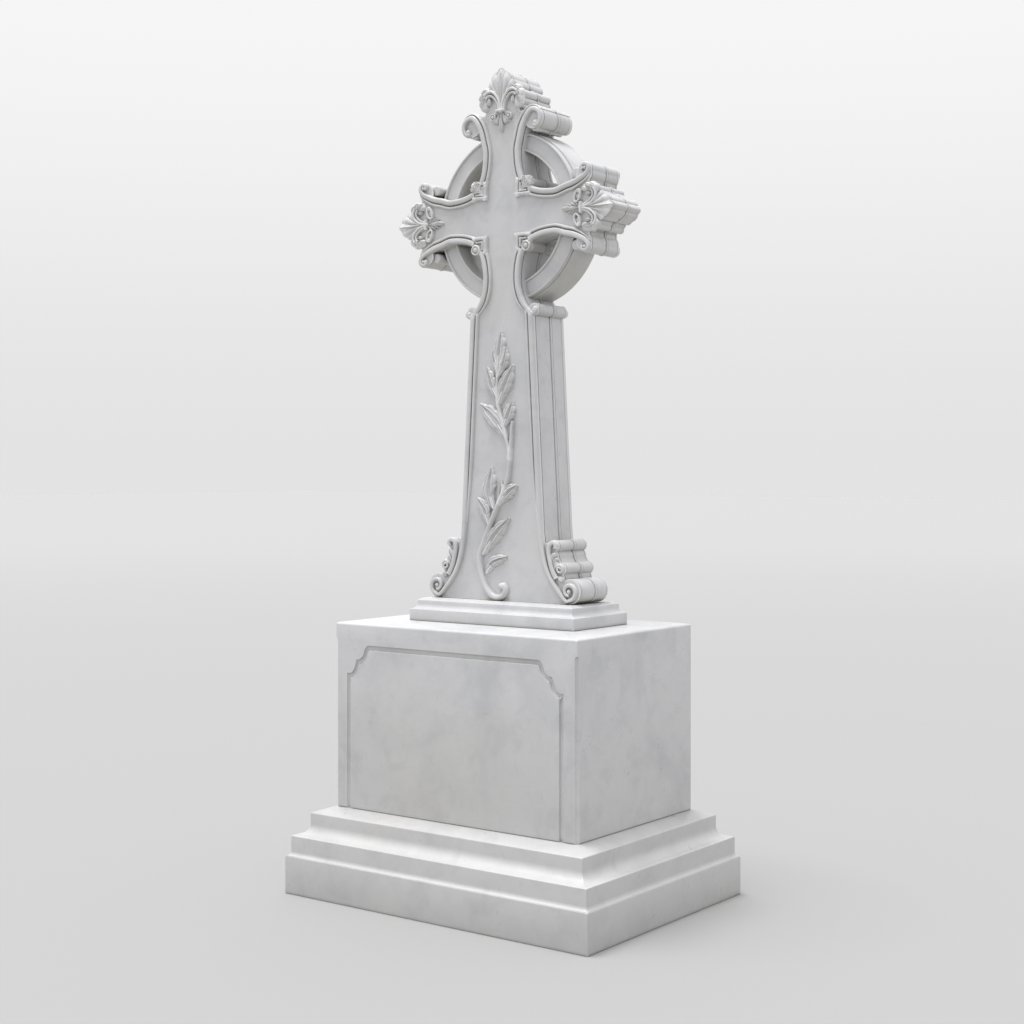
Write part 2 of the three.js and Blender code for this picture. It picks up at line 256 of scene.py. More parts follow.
def graded(first: float, last: float, count: int) -> list[float]:
    """Even run of values from the first to the last."""
    return [first + (last - first) * i / (count - 1) for i in range(count)]


def thinned(size: float, loss: float, start: float, count: int) -> list[float]:
    """Run of a size that thins out toward its end.

    Args:
        size: The size.
        loss: Share of it that is lost at the end.
        start: Share of the run at which the loss begins.
        count: Number of values.

    Returns:
        The sizes.
    """
    return [size * (1 - loss * max(0.0, i / (count - 1) - start) / (1 - start)) for i in range(count)]


def steps_between(spots: Sequence[Point]) -> list[Point]:
    """Steps from each spot to the next."""
    return [(b[0] - a[0], b[1] - a[1]) for a, b in zip(spots, spots[1:])]


def mitre(before: Vector, after: Vector, least: float) -> Vector:
    """Way to the left of a corner, as long as its mitre needs for an inset of one.

    Args:
        before: Direction of the line before the corner.
        after: Direction of the line after it.
        least: Smallest share of the mitre's length that counts, which keeps sharp corners short.

    Returns:
        The way.
    """
    left = Vector((-after.y, after.x))
    side = Vector((-before.y - after.y, before.x + after.x))
    if side.length < FOLD:
        side = left
    side = side.normalized()
    return side / max(side.dot(left), least)


def stroke_outline(line: Sequence[Point], halves: Sequence[float]) -> list[Point]:
    """Outline of a stroke along a line.

    Args:
        line: Middle line of the stroke.
        halves: Half its width at each point.

    Returns:
        The closed outline.
    """
    sides = normals_of(line)
    left = [tuple(Vector(p) + n * h) for p, n, h in zip(line, sides, halves)]
    right = [tuple(Vector(p) - n * h) for p, n, h in zip(line, sides, halves)]
    return left + right[::-1]


def united(outlines: Sequence[Sequence[Point]], least: float = 1.1) -> list[Point]:
    """Outer outline of overlapping outlines.

    Args:
        outlines: Closed outlines in millimetres.
        least: Shortest step that the result keeps.

    Returns:
        The outer outline, anticlockwise.
    """
    points, faces = [], []
    for outline in outlines:
        faces.append(list(range(len(points), len(points) + len(outline))))
        points += [Vector(p) for p in outline]
    verts, _, tris, *_ = geometry.delaunay_2d_cdt(points, [], faces, 1, 1e-4)
    follows: dict[int, int] = {}
    sides = {(tri[i], tri[(i + 1) % 3]) for tri in tris for i in range(3)}
    for a, b in sides:
        if (b, a) not in sides:
            follows[a] = b
    loops = []
    while follows:
        start = next(iter(follows))
        loop, here = [start], follows.pop(start)
        while here != start and here in follows:
            loop.append(here)
            here = follows.pop(here)
        loops.append(loop)
    outer = max(loops, key=lambda loop: abs(area([verts[i] for i in loop])))
    line = [tuple(verts[i]) for i in outer]
    kept = [line[0]]
    for point in line[1:]:
        if math.dist(point, kept[-1]) >= least:
            kept.append(point)
    if math.dist(kept[0], kept[-1]) < least:
        kept.pop()
    return kept if area(kept) > 0 else kept[::-1]


def area(points: Sequence[Sequence[float]]) -> float:
    """Signed area of a closed outline, positive when it runs anticlockwise."""
    return sum(a[0] * b[1] - b[0] * a[1] for a, b in zip(points, [*points[1:], points[0]])) / 2


def inward(outline: Sequence[Point], inset: float) -> list[Point]:
    """Draw an anticlockwise outline in by an inset, with its corners mitred.

    Args:
        outline: The outline.
        inset: Distance inward.

    Returns:
        The inner outline, with as many points.
    """
    made, count = [], len(outline)
    for i, point in enumerate(outline):
        before = (Vector(point) - Vector(outline[i - 1])).normalized()
        after = (Vector(outline[(i + 1) % count]) - Vector(point)).normalized()
        made.append(tuple(Vector(point) + mitre(before, after, 0.6) * inset))
    return made


# Stone and its finish


@dataclass(frozen=True)
class Grain:
    """A noise pattern: its scale, number of finer layers, share of each finer layer, and twist."""

    scale: float
    detail: float
    rough: float
    twist: float = 0.0


BROAD_CLOUDS = Grain(3.2, 6.0, 0.62, 1.1)
FINE_CLOUDS = Grain(15.0, 5.0, 0.6, 0.6)
WARM_PATCHES = Grain(2.1, 3.0, 0.5, 0.4)
VEINS = Grain(5.5, 8.0, 0.6, 1.8)
SPECKS = Grain(210.0, 2.0, 0.5)
POLISH = Grain(38.0, 4.0, 0.6)
CRYSTALS = Grain(420.0, 3.0, 0.6)
TOOLING = Grain(26.0, 3.0, 0.5)


@dataclass(frozen=True)
class Marble:
    """Polished white marble with soft grey clouds and faint veins, painted shade in its hollows and
    underneath, and painted highlights on its edges.
    """

    name: str
    seed: float = 0.0
    pale: Tint = (0.590, 0.590, 0.602)
    cloud: Tint = (0.432, 0.437, 0.462)
    warm: Tint = (0.565, 0.548, 0.520)
    # Painted shade on faces turned downward, in a warm olive grey.
    underside_shade: Tint = (0.400, 0.385, 0.320)
    # Painted shade in hollows.
    hollow_shade: Tint = (0.205, 0.196, 0.160)
    # Painted highlight on convex edges.
    edge: Tint = (0.76, 0.76, 0.77)
    cloud_share: float = 0.50
    underside_shade_share: float = 0.55
    hollow_shade_share: float = 0.84
    hollow_reach: float = 0.014
    edge_highlight_share: float = 0.58
    edge_reach: float = 0.006
    roughness: float = 0.34

    def make(self) -> bpy.types.Material:
        """Build the material.

        Returns:
            The material.
        """
        material = bpy.data.materials.new(self.name)
        material.use_nodes = True
        bench = NodeBench(material.node_tree)
        shader = material.node_tree.nodes["Principled BSDF"]
        shifted = bench.add("ShaderNodeMapping")
        shifted.inputs["Location"].default_value = (self.seed, self.seed * 0.7, -self.seed)
        bench.link(bench.add("ShaderNodeTexCoord").outputs["Object"], shifted.inputs["Vector"])
        spot = shifted.outputs["Vector"]
        bench.link(self.colour(bench, spot), shader.inputs["Base Color"])
        gloss = bench.spread(bench.noise(spot, POLISH), self.roughness - 0.08, self.roughness + 0.14)
        bench.link(gloss, shader.inputs["Roughness"])
        shader.inputs["Specular IOR Level"].default_value = 0.45
        tooled = bench.bump(bench.noise(spot, TOOLING), 0.35, 0.0016, None)
        bench.link(bench.bump(bench.noise(spot, CRYSTALS), 0.16, 0.0004, tooled), shader.inputs["Normal"])
        return material

    def colour(self, bench: NodeBench, spot: Socket) -> Socket:
        """Mix the stone's colour.

        Args:
            bench: Bench of the material.
            spot: Coordinates in the stone.

        Returns:
            The colour.
        """
        broad = bench.noise(spot, BROAD_CLOUDS)
        colour = bench.mix(self.pale, self.cloud, bench.ramp(broad, 0.42, 0.72, self.cloud_share))
        colour = bench.mix(colour, self.cloud, bench.ramp(bench.noise(spot, FINE_CLOUDS), 0.46, 0.74, 0.46))
        colour = bench.mix(colour, self.warm, bench.ramp(bench.noise(spot, WARM_PATCHES), 0.52, 0.75, 0.30))
        from_vein = bench.math("ABSOLUTE", bench.math("SUBTRACT", bench.noise(spot, VEINS), 0.5), 0.0)
        colour = bench.mix(colour, self.cloud, bench.ramp(from_vein, 0.018, 0.0, 0.12))
        colour = bench.mix(colour, self.cloud, bench.ramp(bench.noise(spot, SPECKS), 0.70, 0.80, 0.5))
        # Painted shade: faces turned downward are darkened, in broad patches.
        facing = bench.add("ShaderNodeSeparateXYZ")
        bench.link(bench.add("ShaderNodeTexCoord").outputs["Normal"], facing.inputs[0])
        under = bench.ramp(facing.outputs["Z"], 0.10, -0.75, self.underside_shade_share)
        colour = bench.mix(colour, self.underside_shade, bench.math("MULTIPLY", under, bench.spread(broad, 0.55, 1.25)))
        # Painted shade: hollows that the ambient occlusion node finds are darkened.
        deep = bench.ramp(bench.closeness(self.hollow_reach, False), 0.76, 0.26, self.hollow_shade_share)
        colour = bench.mix(colour, self.hollow_shade, deep)
        # Painted highlight: convex edges that the inward ambient occlusion node finds are lightened.
        darker_base_and_edge_highlight = bench.ramp(bench.closeness(self.edge_reach, True), 0.80, 0.35, self.edge_highlight_share)
        return bench.mix(colour, self.edge, darker_base_and_edge_highlight)

class NodeBench:
    """Places and links the nodes of one material."""

    def __init__(self, tree: bpy.types.NodeTree) -> None:
        """Keep the tree to work on.

        Args:
            tree: The material's node tree.
        """
        self.tree = tree

    def add(self, kind: str, values: dict[str, float] | None = None) -> bpy.types.Node:
        """Add a node of a kind, with values for some of its inputs."""
        node = self.tree.nodes.new(kind)
        for name, value in (values or {}).items():
            node.inputs[name].default_value = value
        return node

    def link(self, start: Socket, end: Socket) -> None:
        """Link two sockets."""
        self.tree.links.new(start, end)

    def noise(self, place: Socket, grain: Grain) -> Socket:
        """Add a noise pattern.

        Args:
            place: Coordinates that it reads.
            grain: The pattern.

        Returns:
            The value of the noise.
        """
        node = self.add("ShaderNodeTexNoise", {
            "Scale": grain.scale, "Detail": grain.detail, "Roughness": grain.rough, "Distortion": grain.twist,
        })
        self.link(place, node.inputs["Vector"])
        return node.outputs["Fac"]

    def closeness(self, reach: float, inside: bool) -> Socket:
        """Measure how open the stone is around a point.

        Args:
            reach: How far it looks, in metres.
            inside: Whether it looks into the stone, to find its edges.

        Returns:
            1 where nothing is near, and less in a hollow or at an edge.
        """
        node = self.add("ShaderNodeAmbientOcclusion", {"Distance": reach})
        node.samples = 8
        node.inside = inside
        return node.outputs["AO"]

    def spread(self, value: Socket, low: float, high: float) -> Socket:
        """Spread a value from 0 to 1 over a range.

        Args:
            value: The value.
            low: Result at 0.3.
            high: Result at 0.7.

        Returns:
            The result.
        """
        spans = {"From Min": 0.3, "From Max": 0.7, "To Min": low, "To Max": high}
        node = self.add("ShaderNodeMapRange", spans)
        self.link(value, node.inputs["Value"])
        return node.outputs["Result"]

    def ramp(self, value: Socket, start: float, end: float, most: float) -> Socket:
        """Turn a value into a share that rises smoothly from start to end.

        Args:
            value: The value.
            start: Value at which the share is 0.
            end: Value at which the share is at its most.
            most: The largest share.

        Returns:
            The share.
        """
        (low, first), (high, last) = sorted([(start, 0.0), (end, most)])
        spans = {"From Min": low, "From Max": high, "To Min": first, "To Max": last}
        node = self.add("ShaderNodeMapRange", spans)
        node.interpolation_type = "SMOOTHSTEP"
        self.link(value, node.inputs["Value"])
        return node.outputs["Result"]

    def math(self, operation: str, value: Socket, number: float | Socket) -> Socket:
        """Work out a value with a number or another value.

        Args:
            operation: Name of the operation.
            value: The value.
            number: The number, or the other value.

        Returns:
            The result.
        """
        node = self.add("ShaderNodeMath")
        node.operation = operation
        if isinstance(number, (int, float)):
            node.inputs[1].default_value = number
        else:
            self.link(number, node.inputs[1])
        self.link(value, node.inputs[0])
        return node.outputs["Value"]

    def mix(
        self,
        first: Socket | Tint,
        second: Tint,
        share: Socket,
    ) -> Socket:
        """Mix a colour into another.

        Args:
            first: The colour at share 0.
            second: The colour at share 1.
            share: The share.

        Returns:
            The mixed colour.
        """
        node = self.add("ShaderNodeMixRGB")
        if isinstance(first, tuple):
            node.inputs["Color1"].default_value = (*first, 1)
        else:
            self.link(first, node.inputs["Color1"])
        node.inputs["Color2"].default_value = (*second, 1)
        self.link(share, node.inputs["Fac"])
        return node.outputs["Color"]

    def bump(
        self, height: Socket, strength: float, distance: float, under: Socket | None
    ) -> Socket:
        """Raise a surface by a height.

        Args:
            height: The height, from 0 to 1.
            strength: Strength of the effect.
            distance: Size of the height in metres.
            under: A bump that this one lies on.

        Returns:
            The new normal.
        """
        node = self.add("ShaderNodeBump", {"Strength": strength, "Distance": distance})
        self.link(height, node.inputs["Height"])
        if under is not None:
            self.link(under, node.inputs["Normal"])
        return node.outputs["Normal"]


class Stonework:
    """A stone that stands for a node of the frame."""

    def __init__(self, node: str, slot: str, finish: bpy.types.Material) -> None:
        """Keep what the stone's pieces share.

        Args:
            node: The node that the stone replaces.
            slot: The record's material slot; not used.
            finish: The stone's material.
        """
        self.node = node
        self.slot = slot
        self.finish = finish
        self.low, self.high = (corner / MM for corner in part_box(node))

    def dress(self, piece: Carving, stands: bool = False) -> None:
        """Give a piece its finish and body.

        Args:
            piece: The piece.
            stands: Whether it is the piece that replaces the node.
        """
        piece.data.materials.clear()
        piece.data.materials.append(self.finish)
        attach(piece, "root")
        if stands:
            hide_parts(self.node)
        LOG.info("%s: %d faces", piece.name, len(piece.data.polygons))


# Moulded and squared stones


def block(name: str, low: Vector, high: Vector) -> Carving:
    """Add a block between two corners and leave it in edit mode with its top selected.

    Args:
        name: Name of the block.
        low: Lowest corner in millimetres.
        high: Highest corner in millimetres.

    Returns:
        The block.
    """
    pick()
    bpy.ops.mesh.primitive_cube_add(size=1, location=(low + high) / 2 * MM, scale=(high - low) * MM)
    obj = bpy.context.object
    obj.name = name
    bpy.ops.object.transform_apply(location=True, rotation=True, scale=True)
    bpy.ops.object.mode_set(mode="EDIT")
    bpy.ops.mesh.select_mode(type="FACE")
    bpy.ops.mesh.select_all(action="DESELECT")
    net = bmesh.from_edit_mesh(obj.data)
    for face in net.faces:
        face.select_set(face.normal.z > 0.9)
    bmesh.update_edit_mesh(obj.data)
    return obj


def step_up(inset: float, rise: float) -> None:
    """Carry the selected top of a stone one step in and up.

    Args:
        inset: Step inward in millimetres.
        rise: Step upward in millimetres.
    """
    if abs(inset) < 1e-6:
        bpy.ops.mesh.extrude_region_move(TRANSFORM_OT_translate={"value": (0, 0, rise * MM)})
    else:
        bpy.ops.mesh.inset(thickness=inset * MM, depth=rise * MM, use_even_offset=True)


def hollow_steps(across: float, up: float, count: int = 10) -> list[Point]:
    """Steps of a hollow quarter curve that starts steep-sided at its foot.

    Args:
        across: Whole width of the hollow.
        up: Whole height of the hollow.
        count: Number of steps.

    Returns:
        One (inset, rise) a step.
    """
    turns = graded(0.0, math.pi / 2, count + 1)
    return steps_between([(across * math.sin(t), up * (1 - math.cos(t))) for t in turns])


# Ears of the panel frame: shares of their width inward and of their height down from the frame's corner
EAR_LOWER = [(0.16, 0.97), (0.33, 0.82), (0.42, 0.62)]
EAR_KNEE = [(0.47, 0.50)]
EAR_UPPER = [(0.62, 0.47), (0.82, 0.30), (0.90, 0.10)]
# Section of the frame's groove: shares of its half width and of its depth
GROOVE = [(-1.0, -1.0), (-1.0, 0.25), (-0.72, 0.85), (-0.2, 1.0), (0.4, 0.92), (0.8, 0.6), (1.0, 0.15),
          (1.0, -1.0)]
# Rounded stop of a corner's hollow: shares of its radius down from its end, and of its radius there
HOLLOW_STOP = [(1.0, 1.0), (0.5, 0.87), (0.13, 0.5), (0.0, 0.06)]


@dataclass
class Base:
    """The moulded base stone, in millimetres."""

    stone: Stonework
    slab: float = 93.0
    ledge: float = 10.3
    fillet: float = 38.5
    neck_in: float = 33.5
    neck: float = 27.0
    rim: float = 27.5
    wash: float = 15.0
    die_inset: float = 88.0
    arris: float = 2.4

    def build(self) -> None:
        """Build the stone and dress it."""
        low, high = self.stone.low, self.stone.high
        piece = block("base_stone", low, Vector((high.x, high.y, low.z + self.slab)))
        for inset, rise in hollow_steps(self.ledge, self.ledge, 6):
            step_up(inset, rise)
        step_up(0, self.fillet)
        step_up(2.0, 0)
        for inset, rise in hollow_steps(self.neck_in - 2.0, self.neck):
            step_up(inset, rise)
        step_up(0, self.rim)
        step_up(self.die_inset - self.ledge - self.neck_in, self.wash)
        bpy.ops.object.mode_set(mode="OBJECT")
        rounded(piece, self.arris, 4, 28.0)
        piece = joined("base_stone", [piece])
        self.stone.dress(piece, stands=True)


@dataclass
class Die:
    """The die: a block with a panel frame cut in its front and hollowed front corners."""

    stone: Stonework
    arris: float = 6.0
    panel_half: float = 325.0
    panel_drop: float = 52.0
    groove: float = 12.5
    groove_depth: float = 5.4
    ear_w: float = 63.0
    ear_h: float = 71.0
    hollow: float = 7.0
    hollow_stop: float = 38.0

    def build(self) -> None:
        """Build the stone and dress it."""
        low, high = self.stone.low, self.stone.high
        piece = block("die_stone", low, Vector((high.x, high.y, high.z - self.arris)))
        for inset, rise in self.top_steps():
            step_up(inset, rise)
        bpy.ops.object.mode_set(mode="OBJECT")
        rounded(piece, 2.2, 3, 50.0)
        for tool in [self.frame_tool(), *self.corner_tools()]:
            self.cut(piece, tool)
        piece = joined("die_stone", [piece], 28.0)
        self.stone.dress(piece, stands=True)

    def top_steps(self) -> list[Point]:
        """Steps of the rounded top arris."""
        turns = graded(0.0, math.pi / 2, 7)
        return steps_between([(self.arris * (1 - math.cos(t)), self.arris * math.sin(t)) for t in turns])

    def cut(self, piece: Carving, tool: Carving) -> None:
        """Cut a tool's shape out of a piece.

        Args:
            piece: The stone.
            tool: The shape to cut, which is removed after.
        """
        pick(piece)
        cut = piece.modifiers.new("cut", "BOOLEAN")
        cut.operation = "DIFFERENCE"
        cut.solver = "EXACT"
        cut.object = tool
        bpy.ops.object.modifier_apply(modifier=cut.name)
        bpy.data.objects.remove(tool)

    def frame_line(self) -> list[Point]:
        """Middle line of the panel frame, from the left foot over the top to the right foot."""
        half = self.panel_half - self.groove / 2
        top = self.stone.high.z - self.panel_drop - self.groove / 2
        lower, knee, upper = (
            [(half - self.ear_w * across, top - self.ear_h * down) for across, down in shares]
            for shares in (EAR_LOWER, EAR_KNEE, EAR_UPPER)
        )
        side = [(half, self.stone.low.z - 4), (half, top - self.ear_h)]
        side += curve_through([(half - 2, top - self.ear_h), *lower, *knee], 12)
        side += curve_through([*knee, *upper, (half - self.ear_w, top)], 12)[1:]
        return [*mirrored(side)[::-1], *side[::-1]]

    def frame_tool(self) -> Carving:
        """Shape of the groove of the panel frame."""
        line = self.frame_line()
        ways = [Vector(way).normalized() for way in steps_between(line)]
        front, half, deep = self.stone.low.y, self.groove / 2, self.groove_depth
        sections = []
        for (x, z), before, after in zip(line, [ways[0], *ways], [*ways, ways[-1]]):
            way = mitre(before, after, 0.65) * half
            sections.append([(x + way.x * a, front + u * deep, z + way.y * a) for a, u in GROOVE])
        return skin("frame_tool", sections)

    def corner_tools(self) -> list[Carving]:
        """Shapes of the stopped hollows of the two front corners."""
        foot, top = self.stone.low.z - 2, self.stone.high.z - self.hollow_stop
        rows = [(foot, 1.0), *((top - self.hollow * down, share) for down, share in HOLLOW_STOP)]
        made = []
        for x in (self.stone.low.x, self.stone.high.x):
            rings = [(z, disc((x, self.stone.low.y), self.hollow * share, 28)) for z, share in rows]
            made.append(skin("corner_tool", [[(a, b, z) for a, b in ring] for z, ring in rings]))
        return made


@dataclass
class CrossPlinth:
    """The small moulded plinth under the cross."""

    stone: Stonework
    face: float = 28.7
    cove: float = 14.0
    fillet: float = 8.0
    wash_in: float = 10.0
    arris: float = 1.3

    def build(self) -> None:
        """Build the stone and dress it."""
        low, high = self.stone.low, self.stone.high
        piece = block("plinth_stone", low, Vector((high.x, high.y, low.z + self.face)))
        step_up(2.5, 0.6)
        for inset, rise in hollow_steps(self.cove - 2.5, self.cove - 0.6, 8):
            step_up(inset, rise)
        step_up(0, self.fillet)
        step_up(self.wash_in, high.z - low.z - self.face - self.cove - self.fillet)
        bpy.ops.object.mode_set(mode="OBJECT")
        rounded(piece, self.arris, 3, 28.0)
        piece = joined("plinth_stone", [piece])
        self.stone.dress(piece, stands=True)


# The cross


class Side(Enum):
    """Front or back of the cross."""

    FRONT = -1
    BACK = 1


class Foliage(Enum):
    """What hangs below the tie of an arm's spray."""

    BERRIES = "berries"
    LOOPS = "loops"


@dataclass(frozen=True)
class ArmForm:
    """An arm's direction and the places on its end, across and along the arm from the crossing."""

    turn: float
    flow: tuple[Point, ...]
    eye: Point
    eye_r: float
    core: Point = (0.0, 0.0)
    core_r: float = 0.0
    knob: Point = (0.0, 0.0)
    knob_r: float = 0.0
    tie: float = 0.0
    tip: float = 0.0
    size: float = 1.0
    foliage: Foliage = Foliage.LOOPS


# Middle lines of the rolls into their scrolls
TOP_FLOW = ((54, 188), (59, 207), (66.5, 224), (77, 240), (89, 250.5), (103, 249.5), (113.5, 241), (117, 228),
            (113.5, 215.5), (105, 208.5), (98, 213))
SIDE_FLOW = ((55, 188), (59, 206), (64, 221), (70, 235), (76.5, 247), (84.5, 254.5), (93, 256.5),
             (100.3, 251.5), (101.5, 243), (96, 237.5), (89.5, 241))
NECK_FLOW = ((50, 178), (56.5, 199), (68, 219), (82, 234), (93.5, 240.5), (102.5, 238.5), (105, 231.5),
             (99.5, 227.5))
TOP_ARM = ArmForm(
    turn=0.0, flow=TOP_FLOW, eye=(103, 217), eye_r=6.6, core=(-2, -20), core_r=27.5, knob=(92, 210),
    knob_r=11.0, tie=258.0, tip=362.0, foliage=Foliage.BERRIES,
)
RIGHT_ARM = ArmForm(
    turn=math.pi / 2, flow=SIDE_FLOW, eye=(92.5, 246.5), eye_r=4.8, core=(-12, -16), core_r=22.0,
    knob=(85, 213.5), knob_r=12.5, tie=236.0, size=0.86, tip=326.5,
)
LEFT_ARM = replace(RIGHT_ARM, turn=-math.pi / 2)
NECK = ArmForm(turn=math.pi, flow=NECK_FLOW, eye=(98.5, 233), eye_r=5.0, core=(0, -11), core_r=14.5)

# Sections of the mouldings: shares of their half width across, and of their rise
ROLL = [(-1.0, -0.3), (-1.0, 0.35), (-0.94, 0.62), (-0.78, 0.85), (-0.55, 0.97), (-0.25, 1.0), (0.05, 0.96),
        (0.4, 0.94), (0.68, 0.84), (0.86, 0.62), (0.97, 0.3), (1.0, -0.3)]
BEAD_HALF = [(-1.0, -0.3), (-0.98, 0.3), (-0.8, 0.72), (-0.45, 0.96)]
BEAD = [*BEAD_HALF, (0.0, 1.0), *mirrored(BEAD_HALF)]
RIBBED_HALF = [(-1.0, -0.2), (-0.95, 0.35), (-0.78, 0.72), (-0.46, 0.9), (-0.2, 0.8), (-0.08, 0.86)]
RIBBED = [*RIBBED_HALF, (0.0, 1.0), *mirrored(RIBBED_HALF)]
BLADE_HALF = [(-1.0, -0.3), (-0.98, 0.42), (-0.88, 0.70), (-0.70, 0.88), (-0.60, 0.74), (-0.50, 0.92),
              (-0.33, 0.98), (-0.22, 0.80), (-0.11, 0.62)]
BLADE = [*BLADE_HALF, (0.0, 0.86), *mirrored(BLADE_HALF)]
# Rows of the round forms: shares of their radius, and of their rise
BUTTON = [(1.0, -0.4), (1.0, 0.55), (0.95, 0.82), (0.84, 0.98), (0.72, 0.98), (0.62, 0.72), (0.56, 0.66),
          (0.48, 0.80), (0.36, 0.98), (0.18, 1.04), (0.03, 1.05)]
BOSS = [
    (1.0, -0.3),
    *((max(0.03, math.cos(t)), 0.3 + 0.7 * math.sin(t)) for t in graded(0.0, math.pi / 2, 7)),
]
# Dark groove and bead along the middle of the cross's thickness: depth, and inset from the outline
MIDDLE = [(19.0, 0.6), (20.2, 0.9), (20.8, 3.4), (22.4, 3.4), (23.0, 0.8), (24.0, -0.7), (26.5, -1.3),
          (29.0, -0.7), (30.0, 0.9), (30.6, 2.2), (31.6, 2.2), (32.4, 0.6)]
# Wall of the cross, from the front field to the back field
WALL = [(-41.5, 0.3), (-41.0, 0.0), (-38.6, 0.0), (-37.6, 0.5), (-37.0, 3.0), (-35.0, 3.0), (-34.4, 0.8),
        (-33.4, 0.6), *MIDDLE, (69.4, 0.6), (70.0, 2.2), (71.2, 2.2), (71.8, 0.5), (73.0, 0.0), (75.0, 0.0),
        (75.5, 0.3)]
CORE_WALL = [(-35.5, 2.6), (-35.2, 1.2), (-34.2, 0.3), (-32.5, 0.0), *MIDDLE, (72.5, 1.6)]

# Corner pieces of the crossing: rolls (centre and radius), legs of their frames (offset, end, half width
# and rise), and buttons of the upper ones
CORNER_ROLLS = [((64, 64), 19.0), ((75, 75), 14.5), ((84, 62), 6.5), ((62, 84), 6.5)]
CORNER_LEGS = [(5.6, 82, 5.6, 9.6), (14.6, 78, 3.0, 7.8)]
CORNER_BUTTONS = [((73, 86), 6.0), ((86, 73), 6.0), ((78, 78), 7.0)]

# Sprays, in the size of the top arm and from the tie outward: edge of the stone behind them, rolls behind
# a side leaf, tendrils (line, half width and rise), petals (line and half width), and buttons
SPRAY_WEB = [(46, 8), (40, 50), (20, 56)]
SPRAY_ROLLS = [((36, 43), 12.0), ((50, 37), 11.5), ((53, 20), 9.0), ((49, 8), 8.0)]
TENDRILS = [
    ([(2, 0), (4, 18), (12, 35), (25, 47), (39, 49), (50, 42)], 4.8, 11.5),
    ([(6, 0), (10, 16), (18, 29), (28, 38), (39, 39), (46, 33)], 4.4, 9.8),
]
SPRAY_PETALS = [
    ([(34, 50), (52, 38), (53, 2)], 14.0), ([(30, 46), (46, 52), (60, 43)], 9.0),
    ([(40, 42), (55, 41), (65, 29)], 9.4), ([(44, 36), (57, 28), (60, 13)], 9.0),
    ([(44, 34), (48, 20), (50, 1)], 8.0), ([(38, 36), (36, 27), (38, 15)], 6.4),
]
SPRAY_BUTTONS = [((51, 37), 5.5), ((55, 24), 4.5)]
BERRY_PETALS = [
    ([(2, -2), (9, -16), (13, -34)], 5.4), ([(5, -3), (15, -7), (25, -6)], 4.6),
    ([(8, -14), (18, -24), (27, -28)], 4.6),
]
LOOP_PETALS = [
    ([(1, -2), (10, -14), (21, -20)], 3.6), ([(1, -8), (9, -24), (17, -34)], 3.8),
    ([(1, -20), (7, -34), (13, -46)], 3.6), ([(3, 2), (10, 0), (18, -4)], 4.2),
]

# Foot, across from the middle and up: edge of its spread, web behind its rolls, rolls (centre and radius),
# leaf hook and petals
FLARE = [(129.5, 130), (140, 96), (153.5, 64), (169, 36), (190, 6)]
FOOT_WEB = [(122, 146), (157, 139), (166, 112), (181, 83), (184, 58), (200, 40), (150, 30), (122, 30)]
FOOT_ROLLS = [((155.0, 137.0), 14.5), ((156.0, 113.0), 11.5), ((174.0, 83.0), 15.5), ((174.0, 58.0), 10.5)]
FOOT_HOOK = [(164, 60), (153, 80), (146, 102), (142, 124), (145, 140), (155, 146), (163, 141), (162, 132)]
FOOT_PETALS = [
    ([(149, 98), (155, 114), (166, 117)], 7.6), ([(154, 90), (161, 104), (169, 108)], 5.6),
    ([(166, 64), (174, 61), (184, 55)], 8.0), ([(157, 80), (164, 94), (163, 102)], 5.6),
]

# Branch, across from the middle and up from the foot: stem, cut shoot, and leaves (root, middle, tip and
# half width)
STEM = [(14, 38), (21, 34), (24, 25), (18, 14), (6, 8), (-10, 8), (-28, 20), (-42, 40), (-52, 68), (-57, 100),
        (-50, 126), (-36, 160), (-18, 200), (2, 240), (16, 268), (28, 300), (33, 340), (31, 368), (24, 390),
        (14, 425), (4, 455), (-4, 478), (-7, 510), (-6, 550), (-4, 590)]
SHOOT = [(31, 344), (37, 384), (39, 412), (41, 438)]
LEAVES = [
    ((-34, 66), (-16, 92), (26, 108), 11.0), ((-46, 112), (-14, 156), (32, 202), 15.5),
    ((-30, 186), (-42, 218), (-64, 250), 14.5), ((-14, 224), (-30, 262), (-22, 324), 17.0),
    ((0, 236), (7, 262), (6, 292), 8.5), ((0, 236), (26, 262), (54, 282), 14.0),
    ((22, 398), (-10, 438), (-57, 481), 17.5), ((14, 422), (26, 450), (40, 484), 14.0),
    ((-4, 476), (14, 520), (40, 572), 16.5), ((-6, 496), (-24, 526), (-38, 570), 13.5),
    ((-5, 545), (12, 582), (20, 614), 12.0), ((-6, 556), (-16, 590), (-20, 608), 8.5),
    ((-5, 566), (-1, 608), (4, 654), 14.5),
]


# Shares of a roll's line at which the bead beside it ends
ARM_BEAD_END = 0.8
FOOT_BEAD_END = 0.62


